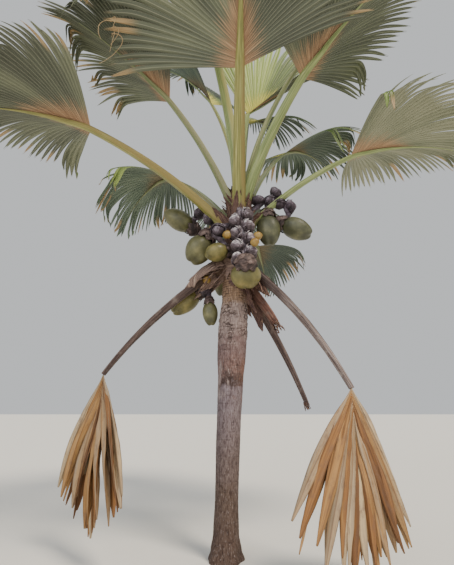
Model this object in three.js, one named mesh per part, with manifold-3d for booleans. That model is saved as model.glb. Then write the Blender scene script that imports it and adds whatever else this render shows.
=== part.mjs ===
// Sea coconut palm, a whole fruiting tree, in millimetres with +Z up.
// The origin is the middle of the flat cut at the foot of the trunk, and the tree is seen from -Y.
// A leaf is a petiole, which is one tapering limb, and a fan-shaped blade that starts at its tip.
// A bunch is a stalk with woody flower cups, young fruit and ripe fruit fused to it.
import * as THREE from "three";
import { mergeVertices } from "three/addons/utils/BufferGeometryUtils.js";
import Module from "manifold-3d";

const wasm = await Module();
wasm.setup();

const { lerp, degToRad } = THREE.MathUtils;
const UP = new THREE.Vector3(0, 0, 1);
// what is cut clear of a neighbour keeps this gap to it
const GAP = 0.5;

// Trunk: the width across the stem at some heights, from the foot to the heart of the crown
const TRUNK_STATIONS = [
  { height: 0, across: 385 },
  { height: 90, across: 335 },
  { height: 260, across: 283 },
  { height: 620, across: 256 },
  { height: 1350, across: 276 },
  { height: 1850, across: 305 },
  { height: 2150, across: 348 },
  { height: 2480, across: 360 },
  { height: 2880, across: 318 },
  { height: 3120, across: 330 },
  { height: 3500, across: 318 },
  { height: 3850, across: 232 },
  { height: 4120, across: 110 },
];
const TRUNK_HEIGHT = 4120;
const TRUNK_LEAN = 185;
const LEAN_POWER = 1.6;
const TRUNK_SIDES = 18;
const TRUNK_RINGS = 18;
const RING_CROWDING = 1.12;

// Petioles: width and depth of the section at the trunk, at the neck of the sheath and at the blade
const LIVE_STEM = {
  foot: { width: 270, depth: 120 },
  neck: { width: 160, depth: 92 },
  tip: { width: 108, depth: 60 },
};
const DEAD_STEM = {
  foot: { width: 250, depth: 205 },
  neck: { width: 132, depth: 114 },
  tip: { width: 78, depth: 54 },
};
// the broken leaf's torn sheath is as deep as it is wide, almost to its end
const STUB_STEM = {
  foot: { width: 230, depth: 180 },
  neck: { width: 195, depth: 168 },
  tip: { width: 150, depth: 118 },
};
const NECK_AT = 0.25;
const STEM_BOW = 0.055;
const STEM_RINGS = 7;
// half-oval section with a shallow channel along its upper side, as shares of the width and depth
const STEM_SECTION = [
  [-0.5, 0.32],
  [-0.42, -0.16],
  [-0.17, -0.46],
  [0.17, -0.46],
  [0.42, -0.16],
  [0.5, 0.32],
  [0.24, 0.2],
  [-0.24, 0.2],
];

// Blades: pointed segments joined by a web, on a rib that runs on from the petiole
const SEGMENTS = 9;
const TIP_CLEARANCE = 0.3;
const RIB_SHARE = 0.3;
const RIB_DEPTH = 46;
const RIB_CROWDING = 1.3;
const SIDE_SHORTER = 0.3;
const WEB_SHARE = 0.66;
const WEB_ROWS = [0, 0.16, 0.42, 1];
const WEB_THICKNESS = 20;
const TIP_THICKNESS = 7;
const TIP_NARROWING = 0.38;
const PLEAT = 28;
const BEND_STEPS = 24;
const WEB_STIFFNESS = 0.35;
const BEND_POWER = 1.6;
const BEND_GAIN = 2.2;

// Live leaves. turn: compass angle from +X. rise: angle of the petiole over the level. reach: its length.
// foot: the height where it leaves the trunk. girth: how stout it is. blade: length of the blade.
// left, right: the angles that the fan opens to, seen from outside the crown. fold: how far both lift.
// swing: how far the fan turns aside in its own plane. curl: how far it bends back. sag: how far it hangs.
// shorter: how much shorter its side segments are, where that isn't the usual share.
const LEAVES = [
  {
    name: "front", turn: -90, rise: 57.5, reach: 1930, foot: 3830, girth: 1.14,
    blade: 2050, left: 89, right: 66, fold: 12, curl: 0.5, sag: 0.5, shorter: 0.2,
  },
  {
    name: "front_left", turn: -123, rise: 75, reach: 2230, foot: 3960, girth: 1.1,
    blade: 1800, left: 45, right: 45, fold: 28, curl: 0.3, sag: 0.5,
  },
  {
    name: "left_upper", turn: -155, rise: 58, reach: 1930, foot: 3840, girth: 0.9,
    blade: 2000, left: 54, right: 55, fold: 16, curl: 0.4, sag: 0.5, shorter: 0.1,
  },
  {
    name: "left_lower", turn: -162, rise: 33, reach: 2330, foot: 3640, girth: 1.15,
    blade: 2000, left: 75, right: 70, fold: 18, curl: 0.3, sag: 1,
  },
  {
    name: "back_left_upper", turn: 150, rise: 77, reach: 2070, foot: 3980, girth: 0.85,
    blade: 1900, left: 62, right: 72, fold: 20, curl: 0.4, sag: 0.8,
  },
  {
    name: "back_left_lower", turn: 135, rise: 45, reach: 2100, foot: 3700, girth: 0.95,
    blade: 1950, left: 56, right: 88, fold: 4, curl: 0.4, sag: 2.1,
  },
  {
    name: "right_upper", turn: -38, rise: 60, reach: 2090, foot: 3860, girth: 1.2,
    blade: 2150, left: 75, right: 66, fold: 16, curl: 0.4, sag: 0.6,
  },
  {
    name: "right_lower", turn: -1, rise: 38, reach: 2000, foot: 3660, girth: 0.95,
    blade: 2000, left: 75, right: 75, fold: 18, curl: 0.3, sag: 1,
  },
  {
    name: "right_inner", turn: -9, rise: 70, reach: 2450, foot: 3960, girth: 0.9,
    blade: 1800, left: 50, right: 40, fold: 26, curl: 0.4, sag: 0.5,
  },
  {
    name: "back_right", turn: 46, rise: 58, reach: 2000, foot: 3760, girth: 0.9,
    blade: 1850, left: 80, right: 80, fold: 10, curl: 0.4, sag: 1.4,
  },
  {
    name: "back_upper", turn: 71, rise: 77, reach: 2030, foot: 4000, girth: 0.85,
    blade: 2000, left: 38, right: 75, fold: 34, swing: -40, curl: 0.1, sag: 0.4,
  },
  {
    name: "back", turn: 80, rise: 67, reach: 2450, foot: 3920, girth: 0.9,
    blade: 1750, left: 66, right: 34, fold: 10, swing: -16, curl: 0.5, sag: 1.3,
  },
  {
    name: "back_low", turn: 92, rise: 37, reach: 2050, foot: 3680, girth: 0.9,
    blade: 1650, left: 75, right: 46, fold: 10, curl: 0.4, sag: 1.4,
  },
  {
    name: "back_lowest", turn: 76, rise: 23, reach: 1500, foot: 3520, girth: 0.9,
    blade: 1350, left: 80, right: 80, fold: 6, curl: 0.3, sag: 1.5,
  },
];

// Dead leaves come from below the live ones and keep their bow. bow: as a share of the reach.
// A blade that is left hangs straight down, half closed. twist: how far it has turned from its petiole.
// shorter: how much shorter its side segments are.
const DEAD_LEAVES = [
  {
    name: "left", turn: -175, rise: -43, reach: 2150, foot: 3390, girth: 1.15, bow: 0.055,
    blade: 1700, left: 30, right: 34, fold: 6, twist: 40, shorter: 0.12, curl: 0, sag: 0.3,
  },
  {
    name: "right", turn: -37, rise: -50, reach: 2160, foot: 3400, girth: 1.1, bow: 0.055,
    blade: 1620, left: 36, right: 28, fold: 4, twist: -26, shorter: 0.06, curl: 0, sag: 0.2,
  },
  { name: "back_right", turn: 34, rise: -55, reach: 1990, foot: 3200, girth: 0.9, bow: 0.035 },
  { name: "stub", turn: -4, rise: -52, reach: 800, foot: 3180, girth: 1, bow: 0.04, stem: STUB_STEM },
];

// Bunches of fruit. path: the points that the stalk passes. cups: shares of the stalk where a flower cup
// sits, to its one side and its other in turn. lean: how far the cups sit from it. young: small fruit.
// fruit: its middle, the way its tip points, its length and its width.
const STALK_RADIUS = 34;
const STALK_STEPS = 5;
const CUP_RADIUS = 90;
const CUP_SQUASH = 0.8;
const YOUNG_RADIUS = 45;
const FRUIT_TAPER = 0.22;
const FRUIT_FLATNESS = 0.84;
const FRUIT_GROOVE = 0.12;
const CAP_SHARE = 0.33;
const BUNCHES = [
  {
    name: "front",
    path: [[170, -60, 3990], [168, -260, 3980], [178, -370, 3860], [200, -395, 3560], [228, -405, 3200]],
    cups: [0.38, 0.46, 0.54, 0.62, 0.7, 0.78, 0.86, 0.93],
    lean: 82,
    young: [[12, -400, 3570], [382, -420, 3545], [338, -500, 3430]],
    fruit: [{ middle: [232, -415, 3030], tip: [0.05, -0.1, -1], length: 330, width: 375 }],
  },
  {
    name: "right",
    path: [[190, 0, 3990], [400, 0, 4130], [600, 0, 4290], [760, 0, 4230], [840, 10, 4010]],
    cups: [0.38, 0.5, 0.62, 0.74, 0.86],
    lean: 62,
    young: [],
    fruit: [
      { middle: [560, -10, 3790], tip: [0.05, 0, -1], length: 450, width: 330 },
      { middle: [940, 0, 3820], tip: [0.86, -0.1, -0.42], length: 440, width: 330 },
    ],
  },
  {
    name: "left",
    path: [[130, 0, 3900], [-120, -30, 3960], [-330, -10, 4010], [-450, 0, 3960]],
    cups: [0.6, 0.82],
    lean: 44,
    young: [],
    fruit: [{ middle: [-645, 0, 3960], tip: [-0.82, -0.1, 0.5], length: 455, width: 350 }],
  },
  {
    name: "front_left",
    path: [[130, -60, 3720], [60, -240, 3760], [-90, -300, 3700], [-200, -270, 3600]],
    cups: [0.78],
    lean: 20,
    young: [],
    fruit: [
      { middle: [-350, -200, 3440], tip: [-0.5, 0.1, -0.8], length: 400, width: 360 },
      { middle: [-125, -320, 3370], tip: [-0.95, -0.25, -0.2], length: 300, width: 275 },
    ],
  },
  {
    name: "lower_left",
    path: [[100, 0, 3230], [-110, 60, 3220], [-230, 50, 3080], [-225, 20, 2930]],
    cups: [0.6, 0.88],
    lean: 45,
    young: [[-245, -110, 3085]],
    fruit: [
      { middle: [-535, 150, 2840], tip: [-0.8, 0, -0.6], length: 440, width: 270 },
      { middle: [-200, 0, 2670], tip: [0.1, 0, -1], length: 320, width: 200 },
    ],
  },
  {
    name: "back",
    path: [[160, 40, 3780], [60, 280, 3830], [0, 440, 3720], [-10, 470, 3480]],
    cups: [0.54, 0.8],
    lean: 60,
    young: [],
    fruit: [
      { middle: [-40, 500, 3230], tip: [-0.1, 0.1, -1], length: 430, width: 320 },
      { middle: [180, 520, 3480], tip: [0.75, 0.45, -0.5], length: 400, width: 300 },
    ],
  },
];

const smooth = (t) => t * t * (3 - 2 * t);
const vector = (list) => new THREE.Vector3(...list);

function outward(turn, rise) {
  const [t, r] = [degToRad(turn), degToRad(rise)];
  return new THREE.Vector3(Math.cos(r) * Math.cos(t), Math.cos(r) * Math.sin(t), Math.sin(r));
}

// Shapes and solids
function geometry(points, faces) {
  const made = new THREE.BufferGeometry().setFromPoints(points);
  made.setIndex(faces);
  return made;
}

// a closed limb from rings of points that go round it anticlockwise, seen from its far end
function loft(rings) {
  const sides = rings[0].length;
  const faces = [];
  for (let k = 0; k + 1 < rings.length; k++) {
    for (let i = 0; i < sides; i++) {
      const a = k * sides + i;
      const b = k * sides + ((i + 1) % sides);
      faces.push(a, b, b + sides, a, b + sides, a + sides);
    }
  }
  const last = (rings.length - 1) * sides;
  for (let i = 1; i + 1 < sides; i++) {
    faces.push(0, i + 1, i, last, last + i, last + i + 1);
  }
  return geometry(rings.flat(), faces);
}

function solidOf(shape) {
  const bare = shape.clone();
  bare.deleteAttribute("normal");
  bare.deleteAttribute("uv");
  const merged = mergeVertices(bare, 1e-3);
  return new wasm.Manifold(
    new wasm.Mesh({
      numProp: 3,
      vertProperties: new Float32Array(merged.attributes.position.array),
      triVerts: new Uint32Array(merged.index.array),
    }),
  );
}

function shapeOf(solid) {
  const mesh = solid.getMesh();
  const made = new THREE.BufferGeometry();
  made.setAttribute("position", new THREE.BufferAttribute(mesh.vertProperties, 3));
  made.setIndex(new THREE.BufferAttribute(mesh.triVerts, 1));
  return made;
}

// a loose scrap that a cut leaves is dropped
function largestPiece(solid) {
  return solid.decompose().sort((a, b) => b.volume() - a.volume())[0];
}

// Trunk
function trunkAxis(height) {
  return new THREE.Vector3(TRUNK_LEAN * (height / TRUNK_HEIGHT) ** LEAN_POWER, 0, height);
}

function trunkRadius(height) {
  const next = Math.max(1, TRUNK_STATIONS.findIndex((s) => s.height >= height));
  const [low, high] = [TRUNK_STATIONS[next - 1], TRUNK_STATIONS[next]];
  const t = smooth((height - low.height) / (high.height - low.height));
  return lerp(low.across, high.across, t) / 2;
}

function trunkShape(grow = 0) {
  const rings = [];
  for (let k = 0; k <= TRUNK_RINGS; k++) {
    const height = TRUNK_HEIGHT * (k / TRUNK_RINGS) ** RING_CROWDING;
    const middle = trunkAxis(height);
    const radius = trunkRadius(height) + grow;
    const ring = [];
    for (let i = 0; i < TRUNK_SIDES; i++) {
      const angle = (i / TRUNK_SIDES) * 2 * Math.PI;
      ring.push(new THREE.Vector3(middle.x + radius * Math.cos(angle), radius * Math.sin(angle), height));
    }
    rings.push(ring);
  }
  return loft(rings);
}

// Petioles
function stemCurve(leaf) {
  const foot = trunkAxis(leaf.foot);
  const along = outward(leaf.turn, leaf.rise);
  const over = outward(leaf.turn, leaf.rise + 90);
  const bow = 2 * (leaf.bow ?? STEM_BOW) * leaf.reach;
  const middle = foot.clone().addScaledVector(along, leaf.reach / 2).addScaledVector(over, bow);
  return new THREE.QuadraticBezierCurve3(foot, middle, foot.clone().addScaledVector(along, leaf.reach));
}

// the foot clasps the trunk and is as wide on every leaf, and the rest is as stout as the leaf
function stemSize(t, stem, girth, side) {
  const neck = stem.neck[side] * girth;
  if (t < NECK_AT) return lerp(stem.foot[side], neck, smooth(t / NECK_AT));
  return lerp(neck, stem.tip[side] * girth, (t - NECK_AT) / (1 - NECK_AT));
}

// along the stem at a share of its length, level across it, and square to both on its upper side
function stemFrame(leaf, t) {
  const curve = stemCurve(leaf);
  const along = curve.getTangent(t).normalize();
  const across = outward(leaf.turn + 90, 0);
  return { middle: curve.getPoint(t), along, across, above: along.clone().cross(across).normalize() };
}

function stemShape(leaf, stem, grow = 0) {
  const rings = [];
  for (let k = 0; k <= STEM_RINGS; k++) {
    const t = k / STEM_RINGS;
    const { middle, along, across, above } = stemFrame(leaf, t);
    if (k === 0) middle.addScaledVector(along, -grow);
    const width = stemSize(t, stem, leaf.girth, "width");
    const depth = stemSize(t, stem, leaf.girth, "depth");
    const ring = STEM_SECTION.map(([x, y]) =>
      middle
        .clone()
        .addScaledVector(across, x * width + Math.sign(x) * grow)
        .addScaledVector(above, y * depth + Math.sign(y) * grow),
    );
    rings.push(ring);
  }
  return loft(rings);
}

// Blades
function fanFrame(leaf) {
  if (leaf.twist !== undefined) {
    const along = UP.clone().negate();
    const across = outward(leaf.turn + 90 + leaf.twist, 0);
    return { along, across, above: along.clone().cross(across) };
  }
  const { along, across, above } = stemFrame(leaf, 1);
  const swing = degToRad(leaf.swing ?? 0);
  return { along: along.applyAxisAngle(above, swing), across: across.applyAxisAngle(above, swing), above };
}

// a line that starts straight and then bends, more and more, to its back and down
function bentLine(start, heading, above, length, leaf, stiffness) {
  const points = [start.clone()];
  const headings = [heading.clone()];
  const step = length / BEND_STEPS;
  for (let i = 0; i < BEND_STEPS; i++) {
    const way = headings[i].clone();
    points.push(points[i].clone().addScaledVector(way, step));
    const growing = BEND_GAIN * ((i + 1) / BEND_STEPS) ** BEND_POWER;
    const give = (step / leaf.blade) * (stiffness + (1 - stiffness) * growing);
    way.addScaledVector(above, -leaf.curl * give).addScaledVector(UP, -leaf.sag * give);
    headings.push(way.normalize());
  }
  return { points, headings };
}

function at(list, share) {
  const x = Math.min(share, 0.9999) * (list.length - 1);
  const i = Math.floor(x);
  return list[i].clone().lerp(list[i + 1], x - i);
}

// the fold at u, from -1 on the left edge of the fan to 1 on its right edge
function bladeLine(leaf, fan, rib, u) {
  const angle = degToRad(u < 0 ? u * leaf.left : u * leaf.right);
  const lift = degToRad(leaf.fold);
  const share = (1 - Math.abs(u)) ** RIB_CROWDING;
  const along = at(rib.headings, share).normalize();
  const above = along.clone().cross(fan.across).normalize();
  const heading = along
    .clone()
    .multiplyScalar(Math.cos(angle))
    .addScaledVector(fan.across, Math.sin(angle) * Math.cos(lift))
    .addScaledVector(above, Math.abs(Math.sin(angle)) * Math.sin(lift));
  const shorter = (leaf.shorter ?? SIDE_SHORTER) * Math.abs(u) ** 1.5;
  const length = leaf.blade * (1 - shorter - RIB_SHARE * share);
  return { ...bentLine(at(rib.points, share), heading, above, length, leaf, WEB_STIFFNESS), above };
}

function bladeShape(leaf, stem) {
  const base = stemFrame(leaf, 1);
  const start = base.middle.clone().addScaledVector(base.along, TIP_CLEARANCE);
  const fan = fanFrame(leaf);
  const rib = bentLine(start, fan.along, fan.above, RIB_SHARE * leaf.blade, leaf, 1);
  const columns = 2 * SEGMENTS;
  const lines = [];
  for (let j = 0; j <= columns; j++) lines.push(bladeLine(leaf, fan, rib, (2 * j) / columns - 1));
  const normalAt = (j, share) => {
    const a = at(lines[Math.max(j - 1, 0)].points, share);
    const b = at(lines[Math.min(j + 1, columns)].points, share);
    const normal = new THREE.Vector3().crossVectors(at(lines[j].headings, share), b.sub(a)).normalize();
    return normal.dot(lines[j].above) < 0 ? normal.negate() : normal;
  };
  const points = [];
  const faces = [];
  const add = (p) => points.push(p) - 1;
  // a station is a pair of points, on the upper and on the lower skin
  const station = (place, normal, thick, below = 0) => ({
    top: add(place.clone().addScaledVector(normal, thick / 2)),
    low: add(place.clone().addScaledVector(normal, -thick / 2 - below)),
  });
  const skin = (a, b, c, d) => {
    faces.push(a.top, c.top, b.top, a.top, d.top, c.top);
    faces.push(a.low, b.low, c.low, a.low, c.low, d.low);
  };
  const wall = (a, b) => faces.push(a.top, b.low, a.low, a.top, b.top, b.low);
  const startRow = lines.map((line, j) => {
    const aside = (j / columns - 0.5) * stem.tip.width * leaf.girth;
    return station(start.clone().addScaledVector(base.across, aside), base.above, stem.tip.depth * 0.6);
  });
  const webRow = (share) =>
    lines.map((line, j) => {
      const normal = normalAt(j, share * WEB_SHARE);
      const pleat = (j % 2 ? -PLEAT : PLEAT) * Math.min(1, 3 * share);
      const below = j === SEGMENTS ? RIB_DEPTH * (1 - share) : 0;
      const place = at(line.points, share * WEB_SHARE).addScaledVector(normal, pleat);
      return station(place, normal, WEB_THICKNESS, below);
    });
  const rows = [startRow, ...WEB_ROWS.slice(1).map(webRow)];
  for (let k = 0; k + 1 < rows.length; k++) {
    for (let j = 0; j < columns; j++) skin(rows[k][j], rows[k][j + 1], rows[k + 1][j + 1], rows[k + 1][j]);
    wall(rows[k + 1][0], rows[k][0]);
    wall(rows[k][columns], rows[k + 1][columns]);
  }
  for (let j = 0; j < columns; j++) wall(startRow[j], startRow[j + 1]);
  // the free end of each segment narrows to a point
  const edge = rows[rows.length - 1];
  const neck = (WEB_SHARE + 1) / 2;
  for (let j = 1; j < columns; j += 2) {
    const normal = normalAt(j, neck);
    const from = [edge[j - 1], edge[j], edge[j + 1]];
    const mid = [j - 1, j, j + 1].map((i) => {
      const place = at(lines[i].points, neck).lerp(at(lines[j].points, neck), TIP_NARROWING);
      const pleat = (i === j ? -PLEAT : PLEAT) * (1 - TIP_NARROWING);
      return station(place.addScaledVector(normal, pleat), normal, TIP_THICKNESS);
    });
    const tip = station(at(lines[j].points, 1), normalAt(j, 1), TIP_THICKNESS / 2);
    for (const i of [0, 1]) {
      skin(from[i], from[i + 1], mid[i + 1], mid[i]);
      faces.push(mid[i].top, tip.top, mid[i + 1].top, mid[i].low, mid[i + 1].low, tip.low);
    }
    wall(mid[0], from[0]);
    wall(from[2], mid[2]);
    wall(tip, mid[0]);
    wall(mid[2], tip);
  }
  return geometry(points, faces);
}

// Bunches
function roundSolid(shape, middle, axis) {
  shape.applyQuaternion(new THREE.Quaternion().setFromUnitVectors(new THREE.Vector3(0, 1, 0), axis));
  return solidOf(shape.translate(...middle));
}

function stalkSolid(curve, steps) {
  const section = new THREE.Shape();
  section.absarc(0, 0, STALK_RADIUS, 0, 2 * Math.PI);
  return solidOf(new THREE.ExtrudeGeometry(section, { steps, curveSegments: 3, extrudePath: curve }));
}

function cupSolid(middle, axis, radius) {
  return roundSolid(new THREE.SphereGeometry(radius, 6, 4).scale(1, CUP_SQUASH, 1), middle, axis);
}

// an egg with its blunt end at the cap, a little flat, with a groove that deepens towards its tip
function fruitSolid({ middle, tip, length, width }) {
  const shape = new THREE.SphereGeometry(1, 9, 6);
  const place = shape.attributes.position;
  const point = new THREE.Vector3();
  for (let i = 0; i < place.count; i++) {
    point.fromBufferAttribute(place, i);
    const towardsTip = (point.y + 1) / 2;
    const girth = 1 - FRUIT_TAPER * towardsTip ** 2;
    const groove = 1 - FRUIT_GROOVE * towardsTip * Math.exp(-((point.x / 0.3) ** 2));
    place.setXYZ(
      i,
      (point.x * girth * width) / 2,
      (point.y * groove * length) / 2,
      (point.z * girth * groove * FRUIT_FLATNESS * width) / 2,
    );
  }
  return roundSolid(shape, middle, vector(tip).normalize());
}

function nearestOn(curve, point) {
  const places = [0.5, 0.6, 0.7, 0.8, 0.9, 1].map((share) => curve.getPointAt(share));
  return places.sort((a, b) => a.distanceTo(point) - b.distanceTo(point))[0];
}

function bunchSolid(bunch) {
  const curve = new THREE.CatmullRomCurve3(bunch.path.map(vector));
  const pieces = [stalkSolid(curve, STALK_STEPS)];
  bunch.cups.forEach((share, i) => {
    const aside = curve.getTangentAt(share).cross(new THREE.Vector3(0, i % 2 ? -1 : 1, 0)).normalize();
    pieces.push(cupSolid(curve.getPointAt(share).addScaledVector(aside, bunch.lean), aside, CUP_RADIUS));
  });
  for (const middle of bunch.young) {
    pieces.push(solidOf(new THREE.SphereGeometry(YOUNG_RADIUS, 5, 4).translate(...middle)));
  }
  for (const fruit of bunch.fruit) {
    const way = vector(fruit.tip).normalize();
    const cap = vector(fruit.middle).addScaledVector(way, -fruit.length * 0.42);
    const twig = new THREE.LineCurve3(nearestOn(curve, cap), cap);
    pieces.push(fruitSolid(fruit), cupSolid(cap, way, fruit.width * CAP_SHARE), stalkSolid(twig, 1));
  }
  return wasm.Manifold.union(pieces);
}

// The tree
const model = new THREE.Group();
const paint = (color, roughness) => new THREE.MeshStandardMaterial({ color, roughness, metalness: 0 });
const BARK = paint(0x8a7568, 0.95);
const GREEN_STEM = paint(0xa5a56b, 0.6);
const DRY_STEM = paint(0x6b5548, 0.9);
const GREEN_BLADE = paint(0x4d5b38, 0.65);
const DRY_BLADE = paint(0xb58a5e, 0.85);
const RIND = paint(0x7d7a4a, 0.6);

function place(name, shape, material) {
  const mesh = new THREE.Mesh(shape, material);
  mesh.name = name;
  model.add(mesh);
}

place("trunk", trunkShape(), BARK);
const rooms = [solidOf(trunkShape(GAP))];
const clearOfOthers = (solid) => largestPiece(rooms.reduce((left, room) => left.subtract(room), solid));

for (const leaf of LEAVES) {
  place(`petiole_${leaf.name}`, shapeOf(clearOfOthers(solidOf(stemShape(leaf, LIVE_STEM)))), GREEN_STEM);
  rooms.push(solidOf(stemShape(leaf, LIVE_STEM, GAP)));
  place(`blade_${leaf.name}`, bladeShape(leaf, LIVE_STEM), GREEN_BLADE);
}
for (const leaf of DEAD_LEAVES) {
  const stem = leaf.stem ?? DEAD_STEM;
  place(`dead_petiole_${leaf.name}`, shapeOf(clearOfOthers(solidOf(stemShape(leaf, stem)))), DRY_STEM);
  rooms.push(solidOf(stemShape(leaf, stem, GAP)));
  if (leaf.blade) place(`dead_blade_${leaf.name}`, bladeShape(leaf, stem), DRY_BLADE);
}
for (const bunch of BUNCHES) place(`bunch_${bunch.name}`, shapeOf(clearOfOthers(bunchSolid(bunch))), RIND);

export default model;
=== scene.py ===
import bisect
import math
import random

import bmesh
import bpy
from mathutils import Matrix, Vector, noise


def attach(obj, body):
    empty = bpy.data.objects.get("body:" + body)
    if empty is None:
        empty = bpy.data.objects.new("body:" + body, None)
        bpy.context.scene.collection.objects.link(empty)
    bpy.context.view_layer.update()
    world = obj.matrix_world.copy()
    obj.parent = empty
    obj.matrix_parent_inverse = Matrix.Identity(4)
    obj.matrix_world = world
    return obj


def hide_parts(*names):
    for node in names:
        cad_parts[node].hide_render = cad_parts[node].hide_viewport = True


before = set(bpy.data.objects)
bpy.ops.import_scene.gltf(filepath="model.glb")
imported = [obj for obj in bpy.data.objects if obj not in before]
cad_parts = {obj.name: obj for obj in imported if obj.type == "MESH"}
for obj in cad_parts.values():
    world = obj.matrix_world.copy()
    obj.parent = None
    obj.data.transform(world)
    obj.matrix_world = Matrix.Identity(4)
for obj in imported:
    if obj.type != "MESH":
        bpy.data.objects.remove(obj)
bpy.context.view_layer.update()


# Trunk
# The single stem of the palm, a column of hard fibre without true bark. Its skin is what the fallen
# leaves left: close rings under the crown, flaking plates, long cracks, and weathered grey fibre below.

# heights, and how thick the stem is there
TRUNK_STATIONS = [
    (0.0, 0.385), (0.09, 0.335), (0.26, 0.283), (0.62, 0.256), (1.35, 0.276), (1.85, 0.305), (2.15, 0.348),
    (2.48, 0.36), (2.88, 0.318), (3.12, 0.33), (3.5, 0.318), (3.85, 0.232), (4.12, 0.11),
]
TRUNK_HEIGHT = 4.12
TRUNK_LEAN = 0.185
LEAN_POWER = 1.6
TRUNK_SIDES = 216
TRUNK_RINGS = 440
# the stem is young above this height, and its old skin flakes off above the other
YOUNG_FROM = 2.75
FLAKING_FROM = 2.1
# a leaf scar every 100 mm or so low down, and every 30 mm where the stem is young
SCAR_GAPS = (0.105, 0.03)
SCAR_WIDTH = 0.005
SCAR_DEPTH = 0.0035
# how wide and how tall the cracks, the plates and the single fibres are
CRACK_SIZE = (0.022, 0.1)
CRACK_DEPTH = 0.006
PLATE_SIZE = (0.06, 0.045)
PLATE_DEPTH = 0.009
FIBRE_SIZE = (0.006, 0.03)
FIBRE_DEPTH = 0.0014
# the whole stem is uneven by this much, and its foot has five low buttresses
SWELL_DEPTH = 0.007
BUTTRESS_DEPTH = 0.014
BUTTRESS_TOP = 0.25


def smooth(t):
    t = min(max(t, 0.0), 1.0)
    return t * t * (3 - 2 * t)


def lerp(a, b, t):
    return a + (b - a) * t


def bumps(x, y, z):
    """Soft noise from about -1 to 1, with waves about 1 across."""
    return noise.noise(Vector((x, y, z)))


def around(angle, reach):
    return Vector((reach * math.cos(angle), reach * math.sin(angle), 0))


def trunk_axis(height):
    return Vector((TRUNK_LEAN * (height / TRUNK_HEIGHT) ** LEAN_POWER, 0, height))


def trunk_radius(height):
    for low, high in zip(TRUNK_STATIONS, TRUNK_STATIONS[1:]):
        if height <= high[0]:
            return lerp(low[1], high[1], smooth((height - low[0]) / (high[0] - low[0]))) / 2
    return TRUNK_STATIONS[-1][1] / 2


def new_bmesh(*layers):
    """An empty bmesh. Its points carry a place in each layer named laid_straight or place_on_fan, and a
    number in any other."""
    bm = bmesh.new()
    for name in layers:
        holds_places = name in ("laid_straight", "place_on_fan")
        kinds = bm.verts.layers.float_vector if holds_places else bm.verts.layers.float
        kinds.new(name)
    return bm


def add_grid(bm, columns, rows):
    """Adds a flat net and returns its points row by row."""
    points = bmesh.ops.create_grid(bm, x_segments=columns, y_segments=rows, size=1)["verts"]
    return [points[k * (columns + 1) : (k + 1) * (columns + 1)] for k in range(rows + 1)]


def close_round(bm, rows):
    """Joins the first and last column of a net that goes round a limb, and closes its two ends."""
    seam = [row[side] for row in rows for side in (0, -1)]
    bmesh.ops.remove_doubles(bm, verts=seam, dist=1e-6)
    rims = {
        edge
        for row in (rows[0], rows[-1])
        for point in row
        if point.is_valid
        for edge in point.link_edges
        if edge.is_boundary
    }
    bmesh.ops.holes_fill(bm, edges=list(rims), sides=0)
    bmesh.ops.recalc_face_normals(bm, faces=bm.faces)


def linear_colour(hex_value):
    """An sRGB hex colour as linear red, green, blue and alpha."""
    parts = [(hex_value >> shift & 255) / 255 for shift in (16, 8, 0)]
    return (*[c / 12.92 if c <= 0.04045 else ((c + 0.055) / 1.055) ** 2.4 for c in parts], 1.0)


def new_material(name):
    material = bpy.data.materials.new(name)
    material.use_nodes = True
    material.node_tree.nodes.clear()
    return material, material.node_tree


def add_node(tree, kind, inputs=None, stops=(), **settings):
    """Adds a node and returns its outputs. An input is a value, a hex colour or another node's output, and
    stops are the places and hex colours of a ramp."""
    node = tree.nodes.new("ShaderNode" + kind)
    for name, value in settings.items():
        setattr(node, name, value)
    for name, value in (inputs or {}).items():
        socket = node.inputs[name]
        if isinstance(value, bpy.types.NodeSocket):
            tree.links.new(value, socket)
        elif socket.type == "RGBA":
            socket.default_value = linear_colour(value)
        else:
            socket.default_value = value
    for i, (place, hex_value) in enumerate(stops):
        ramp = node.color_ramp.elements
        stop = ramp[i] if i < len(ramp) else ramp.new(place)
        stop.position = place
        stop.color = linear_colour(hex_value)
    return node.outputs


def drawn_out(tree, place, waves, detail, roughness=0.5):
    """A noise pattern that is drawn out along the fibre, with so many waves to a metre each way."""
    spread = add_node(tree, "Mapping", {"Vector": place, "Scale": waves})[0]
    inputs = {"Vector": spread, "Scale": 1.0, "Detail": detail, "Roughness": roughness}
    return add_node(tree, "TexNoise", inputs)[0]


def finish_material(tree, colour, roughness, relief, strength, depth, specular=0.5):
    """Closes a material with its shader, whose surface stands out by a relief of a depth in metres."""
    bump = add_node(tree, "Bump", {"Strength": strength, "Distance": depth, "Height": relief})
    surface = add_node(
        tree,
        "BsdfPrincipled",
        {"Base Color": colour, "Roughness": roughness, "Specular IOR Level": specular, "Normal": bump[0]},
    )
    add_node(tree, "OutputMaterial", {"Surface": surface[0]})


def make_piece(bm, name, node, materials, crease=0.6):
    """Turns a bmesh into a piece of the tree that stands for a CAD node."""
    mesh = bpy.data.meshes.new(name)
    bm.to_mesh(mesh)
    bm.free()
    for material in materials:
        mesh.materials.append(material)
    mesh.shade_smooth()
    mesh.set_sharp_from_angle(angle=crease)
    piece = bpy.data.objects.new(name, mesh)
    bpy.context.scene.collection.objects.link(piece)
    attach(piece, "root")
    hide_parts(node)
    return piece


chance = random.Random(7)
scar_heights = [0.2]
while scar_heights[-1] < TRUNK_HEIGHT:
    gap = lerp(*SCAR_GAPS, smooth((scar_heights[-1] - 1.6) / 1.4))
    scar_heights.append(scar_heights[-1] + gap * chance.uniform(0.7, 1.3))


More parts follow.
